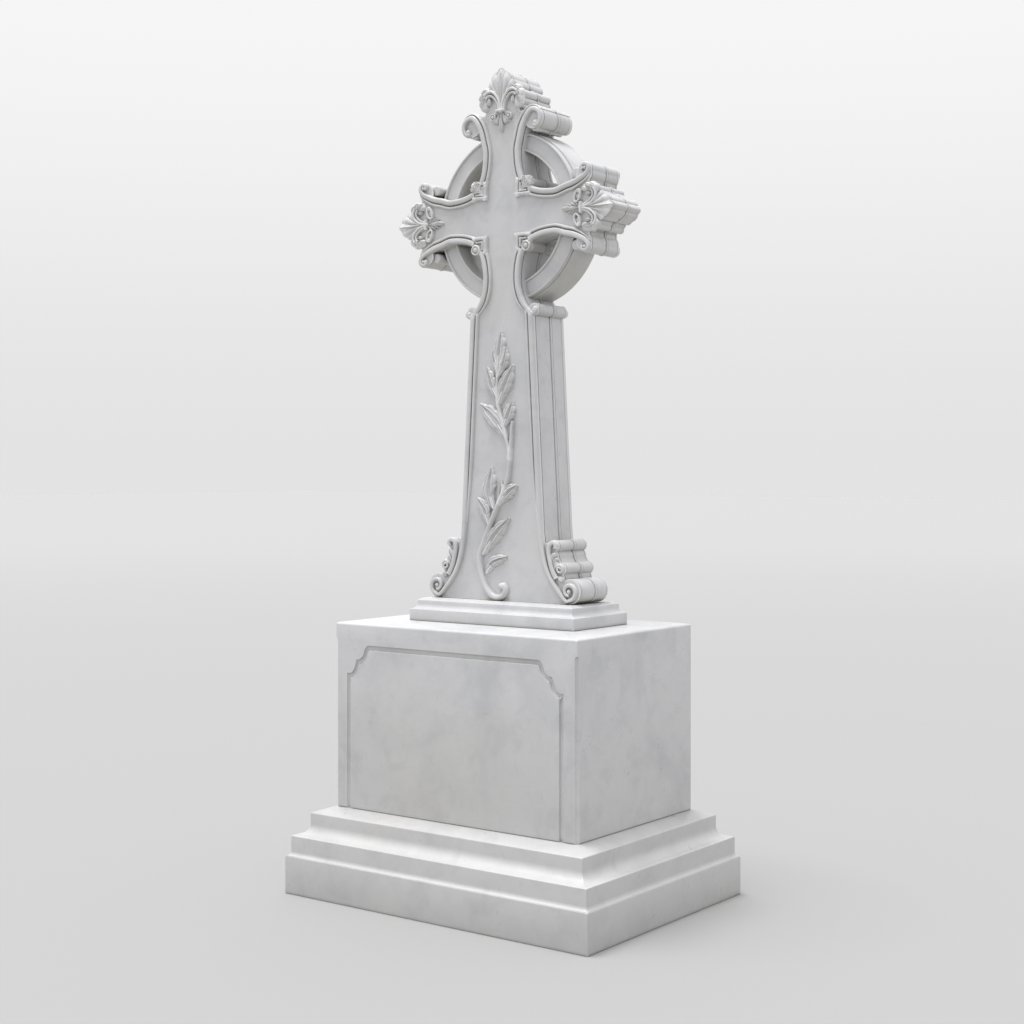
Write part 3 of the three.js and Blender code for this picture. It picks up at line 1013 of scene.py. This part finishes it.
@dataclass
class Cross:
    """The carved cross, in millimetres from its foot up and from its middle across."""

    stone: Stonework
    thick: float = 131.0
    field_in: float = 7.0
    roll_w: float = 15.0
    bead_w: float = 8.4
    roll_rise: float = 9.2
    bead_rise: float = 7.6
    crossing_rise: float = 936.4
    waist: float = 55.0
    waist_at: float = 150.0
    waist_r: float = 170.0
    motif_at: float = 67.0
    motif_point: float = 43.0
    shaft_top_rise: float = 701.4
    shaft_top_half: float = 95.0
    shaft_foot_half: float = 124.0
    flare_top: float = 168.0
    foot_scroll: Point = (201.0, 30.5)
    foot_scroll_r: float = 30.0
    ring_inner: float = 165.0
    ring_rim: float = 209.5
    ring_outer: float = 213.0
    ring_front_in: float = 25.5
    ring_step_at: float = 41.0
    ring_back_in: float = 4.0
    fan_spread: float = 33.0
    fan_lobe: float = 0.46
    wall_zero: float = 48.5
    arms: tuple[ArmForm, ...] = (TOP_ARM, RIGHT_ARM, LEFT_ARM)
    neck: ArmForm = NECK

    def __post_init__(self) -> None:
        """Work out the levels from the frame's box."""
        self.foot = self.stone.low.z
        self.crossing = self.foot + self.crossing_rise
        self.back = self.stone.high.y
        self.front = self.back - self.thick

    # Placing

    def depth(self, side: Side, up: float) -> float:
        """Depth of a point that stands up from the field of a side."""
        field_at = self.front + self.field_in if side is Side.FRONT else self.back - self.field_in
        return field_at + side.value * up

    def on_arm(self, turn: float, flip: int = 1) -> Place:
        """Give the way to set a point of an arm into the front view.

        Args:
            turn: The arm's direction, clockwise from upright.
            flip: -1 for the arm's other half.

        Returns:
            A function from across and along to x and z.
        """
        s, c = math.sin(turn), math.cos(turn)
        return lambda across, along: (
            flip * across * c + along * s,
            self.crossing + along * c - flip * across * s,
        )

    def on_foot(self, flip: int = 1) -> Place:
        """Give the way to set a point above the foot into the front view."""
        return lambda across, up: (flip * across, self.foot + up)

    def on_corner(self, sx: int, sz: int) -> Place:
        """Give the way to set a point of a corner into the front view."""
        return lambda across, along: (sx * across, self.crossing + sz * along)

    # Carving strokes

    def sweep(
        self,
        line: Sequence[Point],
        halves: float | Sequence[float],
        profile: Sequence[Point],
        place: Place,
        rise: float | Sequence[float],
        side: Side = Side.FRONT,
        slant: float = 0.0,
    ) -> Carving:
        """Carve a raised moulding along a line.

        Args:
            line: Middle line of the moulding.
            halves: Half its width, all along or at each point.
            profile: Its section, as shares across and up.
            place: Where the line's points go.
            rise: How high it stands, all along or at each point.
            side: Front or back.
            slant: How far each section's ends run ahead of its middle, as a share of their distance from it.

        Returns:
            The moulding.
        """
        rises = [rise] * len(line) if isinstance(rise, (int, float)) else rise
        widths = [halves] * len(line) if isinstance(halves, (int, float)) else halves
        sections = []
        for point, way, half, high in zip(line, normals_of(line), widths, rises):
            section = []
            for across, up in profile:
                off, ahead = across * half, slant * abs(across) * half
                x, z = place(point[0] + way.x * off + way.y * ahead, point[1] + way.y * off - way.x * ahead)
                section.append((x, self.depth(side, up * high), z))
            sections.append(section)
        return skin("moulding", sections)

    def petal(
        self, spots: Sequence[Point], half: float, place: Place, rise: float, count: int = 14
    ) -> Carving:
        """Carve a petal with a middle rib, narrow at its root and rounded at its tip.

        Args:
            spots: Points of its middle line, from root to tip.
            half: Half its greatest width.
            place: Where its points go.
            rise: How high it stands.
            count: Number of sections.

        Returns:
            The petal.
        """
        line = curve_through(spots, count)
        shares = [petal_share(t) for t in graded(0.0, 1.0, count)]
        rises = [rise * (0.45 + 0.55 * min(1.0, share * 1.15)) for share in shares]
        return self.sweep(line, [half * share for share in shares], RIBBED, place, rises)

    def turned(
        self,
        rows: Sequence[Point],
        centre: Point,
        radius: float,
        rise: float,
        count: int,
        side: Side = Side.FRONT,
    ) -> Carving:
        """Carve a round form.

        Args:
            rows: Its rows from the foot up, as shares of its radius and rise.
            centre: Its centre, in the front view.
            radius: Its radius.
            rise: How high it stands.
            count: Number of points round it.
            side: Front or back.

        Returns:
            The form.
        """
        sections = []
        for share, up in rows:
            depth = self.depth(side, rise * up)
            sections.append([(x, depth, z) for x, z in disc(centre, radius * share, count)])
        return skin("round", sections)

    def button(self, centre: Point, radius: float, rise: float) -> Carving:
        """Carve the round end of a roll, with a ring round its middle."""
        return self.turned(BUTTON, centre, radius, rise, 28)

    def dome(self, centre: Point, radius: float, rise: float, side: Side = Side.FRONT) -> Carving:
        """Carve a smooth round boss."""
        return self.turned(BOSS, centre, radius, rise, 24, side)

    def slab(self, outline: Sequence[Point], rows: Sequence[Point]) -> Carving:
        """Build a wall all round an outline, with its two faces closed.

        Args:
            outline: Anticlockwise outline in the front view.
            rows: Depth and inset of each row of the wall.

        Returns:
            The slab.
        """
        zero = self.front + self.wall_zero
        return skin("slab", [[(x, y + zero, z) for x, z in inward(outline, inset)] for y, inset in rows])

    # Lines of the design

    def arm_half(self, along: float) -> float:
        """Half the width of an arm at a distance from the crossing."""
        return self.waist + self.waist_r - math.sqrt(self.waist_r**2 - (along - self.waist_at) ** 2)

    def roll_line(self, form: ArmForm) -> list[Point]:
        """Middle line of an arm's thick roll, into the eye of its scroll."""
        start = 2 * self.motif_at - self.motif_point - 8
        rows = [(self.arm_half(a) - self.roll_w / 2, a) for a in (start, 104, 124, 146, 164)]
        return curve_through([*rows, *form.flow], 72)

    def roll_halves(self, count: int) -> list[float]:
        """Half widths of a roll that thins toward the eye of its scroll."""
        return thinned(self.roll_w / 2, 0.34, 0.62, count)

    def bead_beside(self, roll: Sequence[Point], side: int, end: float) -> list[Point]:
        """Middle line of the bead inside a roll, which runs into the roll on the way round its scroll.

        Args:
            roll: Middle line of the roll.
            side: Side of the roll's line that the bead is on.
            end: Share of the roll's line at which the bead ends.

        Returns:
            The line.
        """
        off = self.roll_w / 2 + 1.0 + self.bead_w / 2
        last = round((len(roll) - 1) * end)
        line = []
        for i, (point, way) in enumerate(zip(roll[: last + 1], normals_of(roll))):
            share = max(0.0, (i / last - 0.70) / 0.30)
            line.append(tuple(Vector(point) + way * side * off * (1 - 0.50 * share**1.4)))
        return line

    def bead_halves(self, count: int) -> list[float]:
        """Half widths of a bead that thins out at its end."""
        return thinned(self.bead_w / 2, 0.7, 0.70, count)

    def shaft_half(self, up: float) -> float:
        """Half the width of the shaft at a height above the foot."""
        share = (self.shaft_top_rise - up) / (self.shaft_top_rise - self.flare_top)
        return self.shaft_top_half + (self.shaft_foot_half - self.shaft_top_half) * share

    def shaft_edge(self) -> list[Point]:
        """Right-hand edge of the shaft down to the spread of its foot, from the top."""
        ups = (self.shaft_top_rise + 4, 560, 430, 300, 220, self.flare_top)
        return [*((self.shaft_half(up), up) for up in ups), *FLARE]

    def border_roll(self) -> list[Point]:
        """Middle line of the thick roll of the shaft's border, down and round the scroll of the foot."""
        edge = curve_through(self.shaft_edge(), 50)
        inner = [tuple(Vector(p) - n * self.roll_w / 2) for p, n in zip(edge, normals_of(edge))]
        x, z = self.foot_scroll
        keep = [p for p in inner if p[1] > z + 6][::4]
        around = []
        for i in range(12):
            turn, reach = math.radians(-122 + 36 * i), self.foot_scroll_r - self.roll_w / 2 - 1.25 * i
            around.append((x + reach * math.cos(turn), z + reach * math.sin(turn)))
        return curve_through([*keep, *around], 120)

    def fan_reach(self, form: ArmForm, u: float) -> float:
        """Distance from a fan leaf's root to its scalloped edge.

        Args:
            form: The arm.
            u: Share of the fan's half spread, from -1 to 1.

        Returns:
            The distance.
        """
        reach = form.tip - form.tie
        lobe = abs(math.cos(math.pi * u / self.fan_lobe))
        return reach * (1 - 0.30 * abs(u) ** 1.25) - 4.2 * form.size * (1 - lobe**0.55) * (abs(u) > 0.08)

    def fan_point(self, form: ArmForm, u: float, t: float) -> Point:
        """Point of a fan leaf, across and along the arm."""
        spread = math.radians(self.fan_spread) * (0.35 + 0.65 * t)
        reach = self.fan_reach(form, u) * t
        return reach * math.sin(spread * u), form.tie + reach * math.cos(spread * u)

    # Outline of the whole cross

    def outline(self) -> list[Point]:
        """Outer outline of the cross in the front view."""
        shapes: list[list[Point]] = []
        for form in (*self.arms, self.neck):
            shapes += self.arm_shapes(form)
        shapes += self.shaft_shapes()
        for sx in (-1, 1):
            for sz in (-1, 1):
                place = self.on_corner(sx, sz)
                for centre, radius in CORNER_ROLLS:
                    shapes.append([place(a, b) for a, b in disc(centre, radius, 40)])
        return united(shapes)

    def arm_shapes(self, form: ArmForm) -> list[list[Point]]:
        """Overlapping outlines of one arm."""
        place = self.on_arm(form.turn)
        roll = self.roll_line(form)
        bead = self.bead_beside(roll, 1, ARM_BEAD_END)
        high = max(range(len(roll)), key=lambda i: roll[i][1])
        x, z = roll[high]
        web = [(roll[0][0], 0.0), *roll[: high + 1 : 2]]
        local = [[*web, *mirrored(web)]]
        strokes = [
            stroke_outline(roll, self.roll_halves(len(roll))),
            stroke_outline(bead, [half + 0.3 for half in self.bead_halves(len(bead))]),
            disc(form.eye, form.eye_r, 24),
            disc((x + form.core[0], z + form.core[1]), form.core_r, 40),
        ]
        if form is not self.neck:
            k, tie = form.size, form.tie
            end = [(x * 0.6, 205), (x * 0.66, z - 18), *((a * k, tie + b * k) for a, b in SPRAY_WEB)]
            local.append([*end, *mirrored(end)])
            local.append([(0, tie), *(self.fan_point(form, u, 0.985) for u in graded(-1.0, 1.0, 61))])
            strokes += [disc((a * k, tie + b * k), radius * k, 28) for (a, b), radius in SPRAY_ROLLS]
        shapes = [[place(a, b) for a, b in shape] for shape in local]
        for flip in (-1, 1):
            half_place = self.on_arm(form.turn, flip)
            shapes += [[half_place(a, b) for a, b in stroke] for stroke in strokes]
        return shapes

    def shaft_shapes(self) -> list[list[Point]]:
        """Overlapping outlines of the shaft and its foot."""
        place = self.on_foot()
        edge = [p for p in curve_through(self.shaft_edge(), 70) if p[1] > 2.5]
        whole = [*edge, (edge[-1][0], 0.0)]
        shapes = [[place(a, b) for a, b in [*whole, *mirrored(whole)]]]
        rolls = [disc(*roll, 36) for roll in FOOT_ROLLS]
        half = [disc(self.foot_scroll, self.foot_scroll_r, 52), *rolls, FOOT_WEB]
        for flip in (-1, 1):
            side = self.on_foot(flip)
            shapes += [[side(a, b) for a, b in shape] for shape in half]
        return shapes

    # Building

    def build(self) -> None:
        """Build the cross's pieces and dress them."""
        body = joined("cross_body", [self.slab(self.outline(), WALL), *self.cores()], 40.0)
        self.stone.dress(body, stands=True)
        groups = {
            "cross_ring": [self.ring()],
            "cross_bands": self.bands(Side.FRONT),
            "cross_back_bands": self.bands(Side.BACK),
            "cross_corner_leaves": self.corners(),
            "cross_foot_leaves": self.foot_leaves(),
            "cross_branch": self.branch(),
        }
        names = ("cross_top_leaves", "cross_right_leaves", "cross_left_leaves")
        for name, form in zip(names, self.arms):
            groups[name] = self.spray(form)
        for name, parts in groups.items():
            self.stone.dress(joined(name, parts, 48.0))

    def cores(self) -> list[Carving]:
        """The second rolls beside the scrolls, set a little back, through the whole thickness."""
        made = []
        for form in self.arms:
            for flip in (-1, 1):
                place = self.on_arm(form.turn, flip)
                spots = [place(a, b) for a, b in disc(form.knob, form.knob_r, 36)]
                made.append(self.slab(spots if area(spots) > 0 else spots[::-1], CORE_WALL))
        return made

    def ring(self) -> Carving:
        """The ring, spun about the line through the crossing."""
        inner, rim, outer = self.ring_inner, self.ring_rim, self.ring_outer
        face = self.front + self.ring_front_in
        line = self.front + self.ring_step_at
        back = self.back - self.ring_back_in
        mid = self.front + self.thick / 2
        bead = [(0.8, 0.3), (2.6, -0.6), (5.0, -0.2), (6.2, 1.2), (6.8, 4.0)]
        profile = [
            *((inner + off, face + deep) for off, deep in bead), (inner + 9, face + 4.4),
            (rim - 9, face + 4.4), *((rim - off, face + deep) for off, deep in reversed(bead)),
            (rim, face + 1.8), (rim, line - 2.6), (rim - 1.8, line - 1.8), (rim - 1.8, line - 0.6),
            (outer - 1.2, line), (outer, line + 1.2), (outer, back - 4.0), (outer - 1.4, back - 3.0),
            (outer - 1.4, back - 2.0), (outer - 0.6, back - 1.0), (outer - 1.4, back),
            (inner + 1.4, back), (inner, back - 1.4),
            (inner, mid + 2.6), (inner + 2.4, mid + 1.6), (inner + 2.4, mid + 0.6), (inner, mid - 0.4),
            (inner, face + 1.8),
        ]
        pick()
        bpy.ops.mesh.primitive_circle_add(vertices=len(profile), fill_type="NOTHING")
        obj = bpy.context.object
        for vert, (radius, depth) in zip(obj.data.vertices, profile):
            vert.co = Vector((radius, depth, self.crossing)) * MM
        bpy.ops.object.mode_set(mode="EDIT")
        bpy.ops.mesh.select_all(action="SELECT")
        centre = Vector((0, 0, self.crossing)) * MM
        bpy.ops.mesh.spin(steps=160, angle=2 * math.pi, center=centre, axis=(0, 1, 0))
        bpy.ops.mesh.select_all(action="SELECT")
        bpy.ops.mesh.remove_doubles(threshold=0.00002)
        bpy.ops.mesh.normals_make_consistent(inside=False)
        bpy.ops.object.mode_set(mode="OBJECT")
        return obj

    def bands(self, side: Side) -> list[Carving]:
        """Rolls and beads along the edges of one side, with the eyes of their scrolls."""
        made = []
        for flip in (-1, 1):
            for form in (*self.arms, self.neck):
                place = self.on_arm(form.turn, flip)
                made += self.strands(self.roll_line(form), 1, ARM_BEAD_END, place, side)
                made.append(self.dome(place(*form.eye), form.eye_r, self.roll_rise + 0.6, side))
            place = self.on_foot(flip)
            made += self.strands(self.border_roll(), -1, FOOT_BEAD_END, place, side)
            made.append(self.dome(place(*self.foot_scroll), 6.2, self.roll_rise + 0.4, side))
        return made

    def strands(self, roll: list[Point], inside: int, end: float, place: Place, side: Side) -> list[Carving]:
        """A thick roll and the bead beside it.

        Args:
            roll: Middle line of the roll.
            inside: Side of the line that the bead is on.
            end: Share of the line at which the bead ends.
            place: Where the points go.
            side: Front or back.

        Returns:
            The two mouldings.
        """
        bead = self.bead_beside(roll, inside, end)
        rises = thinned(self.bead_rise, 0.3, 0.7, len(bead))
        return [
            self.sweep(roll, self.roll_halves(len(roll)), ROLL, place, self.roll_rise, side),
            self.sweep(bead, self.bead_halves(len(bead)), BEAD, place, rises, side),
        ]

    def corners(self) -> list[Carving]:
        """The four leafy corner pieces of the crossing."""
        point = self.motif_point
        made = []
        for sx in (-1, 1):
            for sz in (-1, 1):
                place = self.on_corner(sx, sz)
                for turn in (place, self.swapped(place)):
                    for off, far, half, rise in CORNER_LEGS:
                        leg = even_steps([(point + off, point + off - half), (point + off, far)], 8)
                        made.append(self.sweep(leg, half, ROLL, turn, rise))
                    made.append(self.dome(turn(point + 7, 84), 6.4, 9.6))
                    made.append(self.petal([(64, 62), (68, 77), (63, 90)], 6.4, turn, 9.4))
                if sz < 0:
                    made.append(self.button(place(77, 77), 13.6, 11.5))
                else:
                    made.append(self.petal([(60, 60), (72, 72), (90, 90)], 12.5, place, 10.5))
                    made += [self.button(place(*spot), radius, 12.0) for spot, radius in CORNER_BUTTONS]
        return made

    def swapped(self, place: Place) -> Place:
        """Give the same place with its two directions exchanged."""
        return lambda across, along: place(along, across)

    def fan(self, form: ArmForm) -> Carving:
        """The ribbed fan leaf of an arm's end, with a ridge up its middle."""
        place = self.on_arm(form.turn)
        sections = []
        for t in graded(0.05, 1.0, 19):
            swell = math.sin(math.pi * min(1.0, 0.18 + 0.62 * t)) ** 0.7 * (1.0 if t < 0.93 else 0.72)
            spots = []
            for u in graded(-1.0, 1.0, 65):
                rib = abs(math.cos(math.pi * u / self.fan_lobe)) ** 0.7
                ridge = math.exp(-((u / 0.05) ** 2))
                height = 5.2 + 3.4 * rib * min(1.0, t * 1.6) + 2.6 * ridge
                spots.append((u, height * swell * (1 - 0.45 * abs(u) ** 6) + 1.5))
            section = []
            for u, height in (*spots, (1, -2.0), (-1, -2.0)):
                x, z = place(*self.fan_point(form, u, t))
                section.append((x, self.depth(Side.FRONT, height), z))
            sections.append(section)
        return skin("fan", sections)

    def spray(self, form: ArmForm) -> list[Carving]:
        """The leaves at the end of an arm."""
        place = self.on_arm(form.turn)
        tie = form.tie
        made = [self.fan(form)]
        for flip in (-1, 1):
            half_place = self.scaled(self.on_arm(form.turn, flip), form.size, tie)
            for spots, half, rise in TENDRILS:
                rises = graded(rise * 0.8, rise, 26)
                made.append(self.sweep(curve_through(spots, 26), half, BEAD, half_place, rises))
            for spots, half in SPRAY_PETALS:
                made.append(self.petal(spots, half, half_place, 7.5 if half > 12 else 11.0))
            for spot, radius in SPRAY_BUTTONS:
                made.append(self.button(half_place(*spot), radius * form.size, 12.0))
            made += self.under_tie(form, half_place)
        made.append(self.sweep(even_steps([(-13, tie), (13, tie)], 6), 4.4, BEAD, place, 13.0))
        made.append(self.dome(place(0, tie - 1), 6.0, 13.5))
        drop = 54 if form.foliage is Foliage.BERRIES else 56
        made.append(self.petal([(0, tie), (0, tie - drop / 2), (0, tie - drop)], 6.5, place, 10.5))
        return made

    def scaled(self, place: Place, size: float, tie: float) -> Place:
        """Give a place that reads points from the tie outward, at a share of full size."""
        return lambda across, along: place(across * size, tie + along * size)

    def under_tie(self, form: ArmForm, place: Place) -> list[Carving]:
        """Berries or loops and small leaves below the tie, on one half of an arm."""
        if form.foliage is Foliage.BERRIES:
            made = [self.button(place(24, -15), 9.0, 10.0), self.dome(place(15, -24), 5.0, 8.5)]
            petals = BERRY_PETALS
        else:
            loop = []
            for t in graded(0.0, 2 * math.pi, 30):
                long, short = 17.5 * math.cos(t), 8.6 * math.sin(t)
                loop.append((33 + long * 0.94 - short * 0.34, -12 + long * 0.34 + short * 0.94))
            made = [self.sweep(loop, 3.8, BEAD, place, 9.4)]
            made += [self.dome(place(33, -12), 8.0, 4.6), self.dome(place(44, -8), 5.0, 9.0)]
            petals = LOOP_PETALS
        return made + [self.petal(spots, half, place, 9.0, count=10) for spots, half in petals]

    def foot_leaves(self) -> list[Carving]:
        """Leaf hooks and small scrolls on the outside of the foot."""
        made = []
        (x, z), _ = FOOT_ROLLS[2]
        spiral = []
        for i in range(22):
            turn, radius = math.radians(150 - 25 * i), 11.0 - 0.36 * i
            spiral.append((x + radius * math.cos(turn), z + radius * math.sin(turn)))
        for flip in (-1, 1):
            place = self.on_foot(flip)
            hook = curve_through(FOOT_HOOK, 34)
            made.append(self.sweep(hook, graded(7.6, 5.8, 34), ROLL, place, self.roll_rise))
            made.append(self.sweep(spiral, graded(4.6, 2.92, 22), BEAD, place, self.bead_rise + 0.8))
            made += [self.petal(spots, half, place, self.bead_rise + 1.2) for spots, half in FOOT_PETALS]
        return made

    # The branch on the shaft

    def branch(self) -> list[Carving]:
        """The leafy branch in low relief on the front of the shaft."""
        place = self.leaning(self.on_foot())
        stem_halves = [8.8 - 4.6 * t**1.4 for t in graded(0.0, 1.0, 120)]
        shoot_halves = [7.2 - 4.8 * t**1.6 for t in graded(0.0, 1.0, 16)]
        made = [
            self.sweep(curve_through(STEM, 120), stem_halves, BEAD, place, graded(11.5, 9.0, 120)),
            self.sweep(curve_through(SHOOT, 16), shoot_halves, BEAD, place, 10.0),
            self.dome(place(11, 36), 8.4, 11.5),
        ]
        for root, middle, tip, half in LEAVES:
            made.append(self.leaf([root, middle, tip], half * 1.32, place))
            stalk = curve_through([root, tuple(Vector(root).lerp(Vector(middle), 0.75))], 8)
            made.append(self.sweep(stalk, 3.8, BEAD, place, 9.5))
        return made

    def leaning(self, place: Place) -> Place:
        """Give the place of the branch, which lies a little to the left of the middle line at its foot."""
        return lambda across, up: place(across - 11.0 + 0.010 * up, up)

    def leaf(self, spots: Sequence[Point], half: float, place: Place) -> Carving:
        """Carve one lobed and veined leaf.

        Args:
            spots: Points of its midrib, from root to tip.
            half: Half its greatest width.
            place: Where its points go.

        Returns:
            The leaf.
        """
        count = 64
        halves, rises = [], []
        for t in graded(0.0, 1.0, count):
            body = max(0.06, min((t + 0.06) / 0.36, (1.0 - t) / 0.44, 1.0)) ** 0.72
            lobe = math.sin(math.pi * ((t * 3.5 + 0.15) % 1.0) ** 1.25) ** 0.6
            halves.append(max(1.0, half * body * (0.77 + 0.23 * lobe)))
            rises.append(9.4 * (0.64 + 0.33 * body + 0.03 * lobe))
        return self.sweep(curve_through(spots, count), halves, BLADE, place, rises, slant=0.62)

def petal_share(t: float) -> float:
    """Share of a petal's greatest half width, from its root at 0 to its tip at 1."""
    if t < 0.6:
        grow = t / 0.6
        return 0.3 + 0.7 * (3 * grow**2 - 2 * grow**3)
    fall = (t - 0.6) / 0.4
    return max(0.06, math.sqrt(max(0.0, 1 - fall**2.4)))


# Studio


@dataclass(frozen=True)
class Studio:
    """Camera, floor and light."""

    eye: tuple[float, float, float] = (2.4571, -3.2728, 1.0367)
    yaw: float = 36.92
    lens: float = 58.54
    sensor: float = 36.0
    rise: float = -0.0394
    floor_size: float = 120.0
    near: float = 1.5
    far: float = 22.0
    floor_tone: float = 0.33
    far_tone: float = 0.371
    sky_low: float = 0.77
    sky_high: float = 0.92
    sky_band: float = 0.28
    sky_light: float = 1.0
    sun: float = 3.3
    sun_softness: float = 30.0
    sun_from: tuple[float, float, float] = (-0.14, -0.12, 1.0)

    def build(self) -> None:
        """Set the camera, floor and light."""
        data = bpy.data.cameras.new("camera")
        camera = bpy.data.objects.new("camera", data)
        bpy.context.scene.collection.objects.link(camera)
        camera.location = self.eye
        camera.rotation_euler = (math.radians(90), 0, math.radians(self.yaw))
        data.lens = self.lens
        data.sensor_width = self.sensor
        data.shift_y = self.rise
        bpy.context.scene.camera = camera
        bpy.context.scene.view_settings.view_transform = "Standard"
        pick()
        bpy.ops.mesh.primitive_plane_add(size=self.floor_size)
        floor = bpy.context.object
        floor.name = "floor"
        paint = bpy.data.materials.new("floor_paint")
        paint.use_nodes = True
        shader = paint.node_tree.nodes["Principled BSDF"]
        bench = NodeBench(paint.node_tree)
        spot = bench.add("ShaderNodeTexCoord").outputs["Object"]
        span = bench.add("ShaderNodeVectorMath")
        span.operation = "LENGTH"
        bench.link(spot, span.inputs[0])
        share = bench.ramp(span.outputs["Value"], self.near, self.far, 1.0)
        tone = bench.mix((self.floor_tone,) * 3, (self.far_tone,) * 3, share)
        bench.link(tone, shader.inputs["Base Color"])
        shader.inputs["Roughness"].default_value = 0.8
        floor.data.materials.append(paint)
        sun_data = bpy.data.lights.new("soft_top_light", "SUN")
        sun_data.energy = self.sun
        sun_data.angle = math.radians(self.sun_softness)
        sun = bpy.data.objects.new("soft_top_light", sun_data)
        sun.rotation_mode = "QUATERNION"
        sun.rotation_quaternion = Vector(self.sun_from).to_track_quat("Z", "Y")
        bpy.context.scene.collection.objects.link(sun)
        self.sky()

    def sky(self) -> None:
        """Give the surroundings a pale gradient."""
        world = bpy.data.worlds.new("studio")
        bpy.context.scene.world = world
        world.use_nodes = True
        tree = world.node_tree
        bench = NodeBench(tree)
        place = bench.add("ShaderNodeTexCoord").outputs["Generated"]
        parts = bench.add("ShaderNodeSeparateXYZ")
        bench.link(place, parts.inputs["Vector"])
        share = bench.ramp(parts.outputs["Z"], 0.0, self.sky_band, 1.0)
        colour = bench.mix((self.sky_low,) * 3, (self.sky_high,) * 3, share)
        bench.link(colour, tree.nodes["Background"].inputs["Color"])
        tree.nodes["Background"].inputs["Strength"].default_value = self.sky_light


def main() -> None:
    """Build the headstone round its frame."""
    logging.basicConfig(level=logging.INFO, format="%(name)s %(message)s")
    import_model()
    Studio().build()
    # The base's marble is a darker copy of the others.
    darker_base_and_edge_highlight = Marble("base_marble", 1.3, pale=(0.515, 0.512, 0.515), cloud=(0.410, 0.410, 0.420))
    Base(Stonework("base", "base_marble", darker_base_and_edge_highlight.make())).build()
    Die(Stonework("die", "die_marble", Marble("die_marble", 4.1).make())).build()
    CrossPlinth(Stonework("cross_plinth", "plinth_marble", Marble("plinth_marble", 6.7).make())).build()
    Cross(Stonework("cross", "cross_marble", Marble("cross_marble", 9.2).make())).build()


if __name__ == "__main__":
    main()
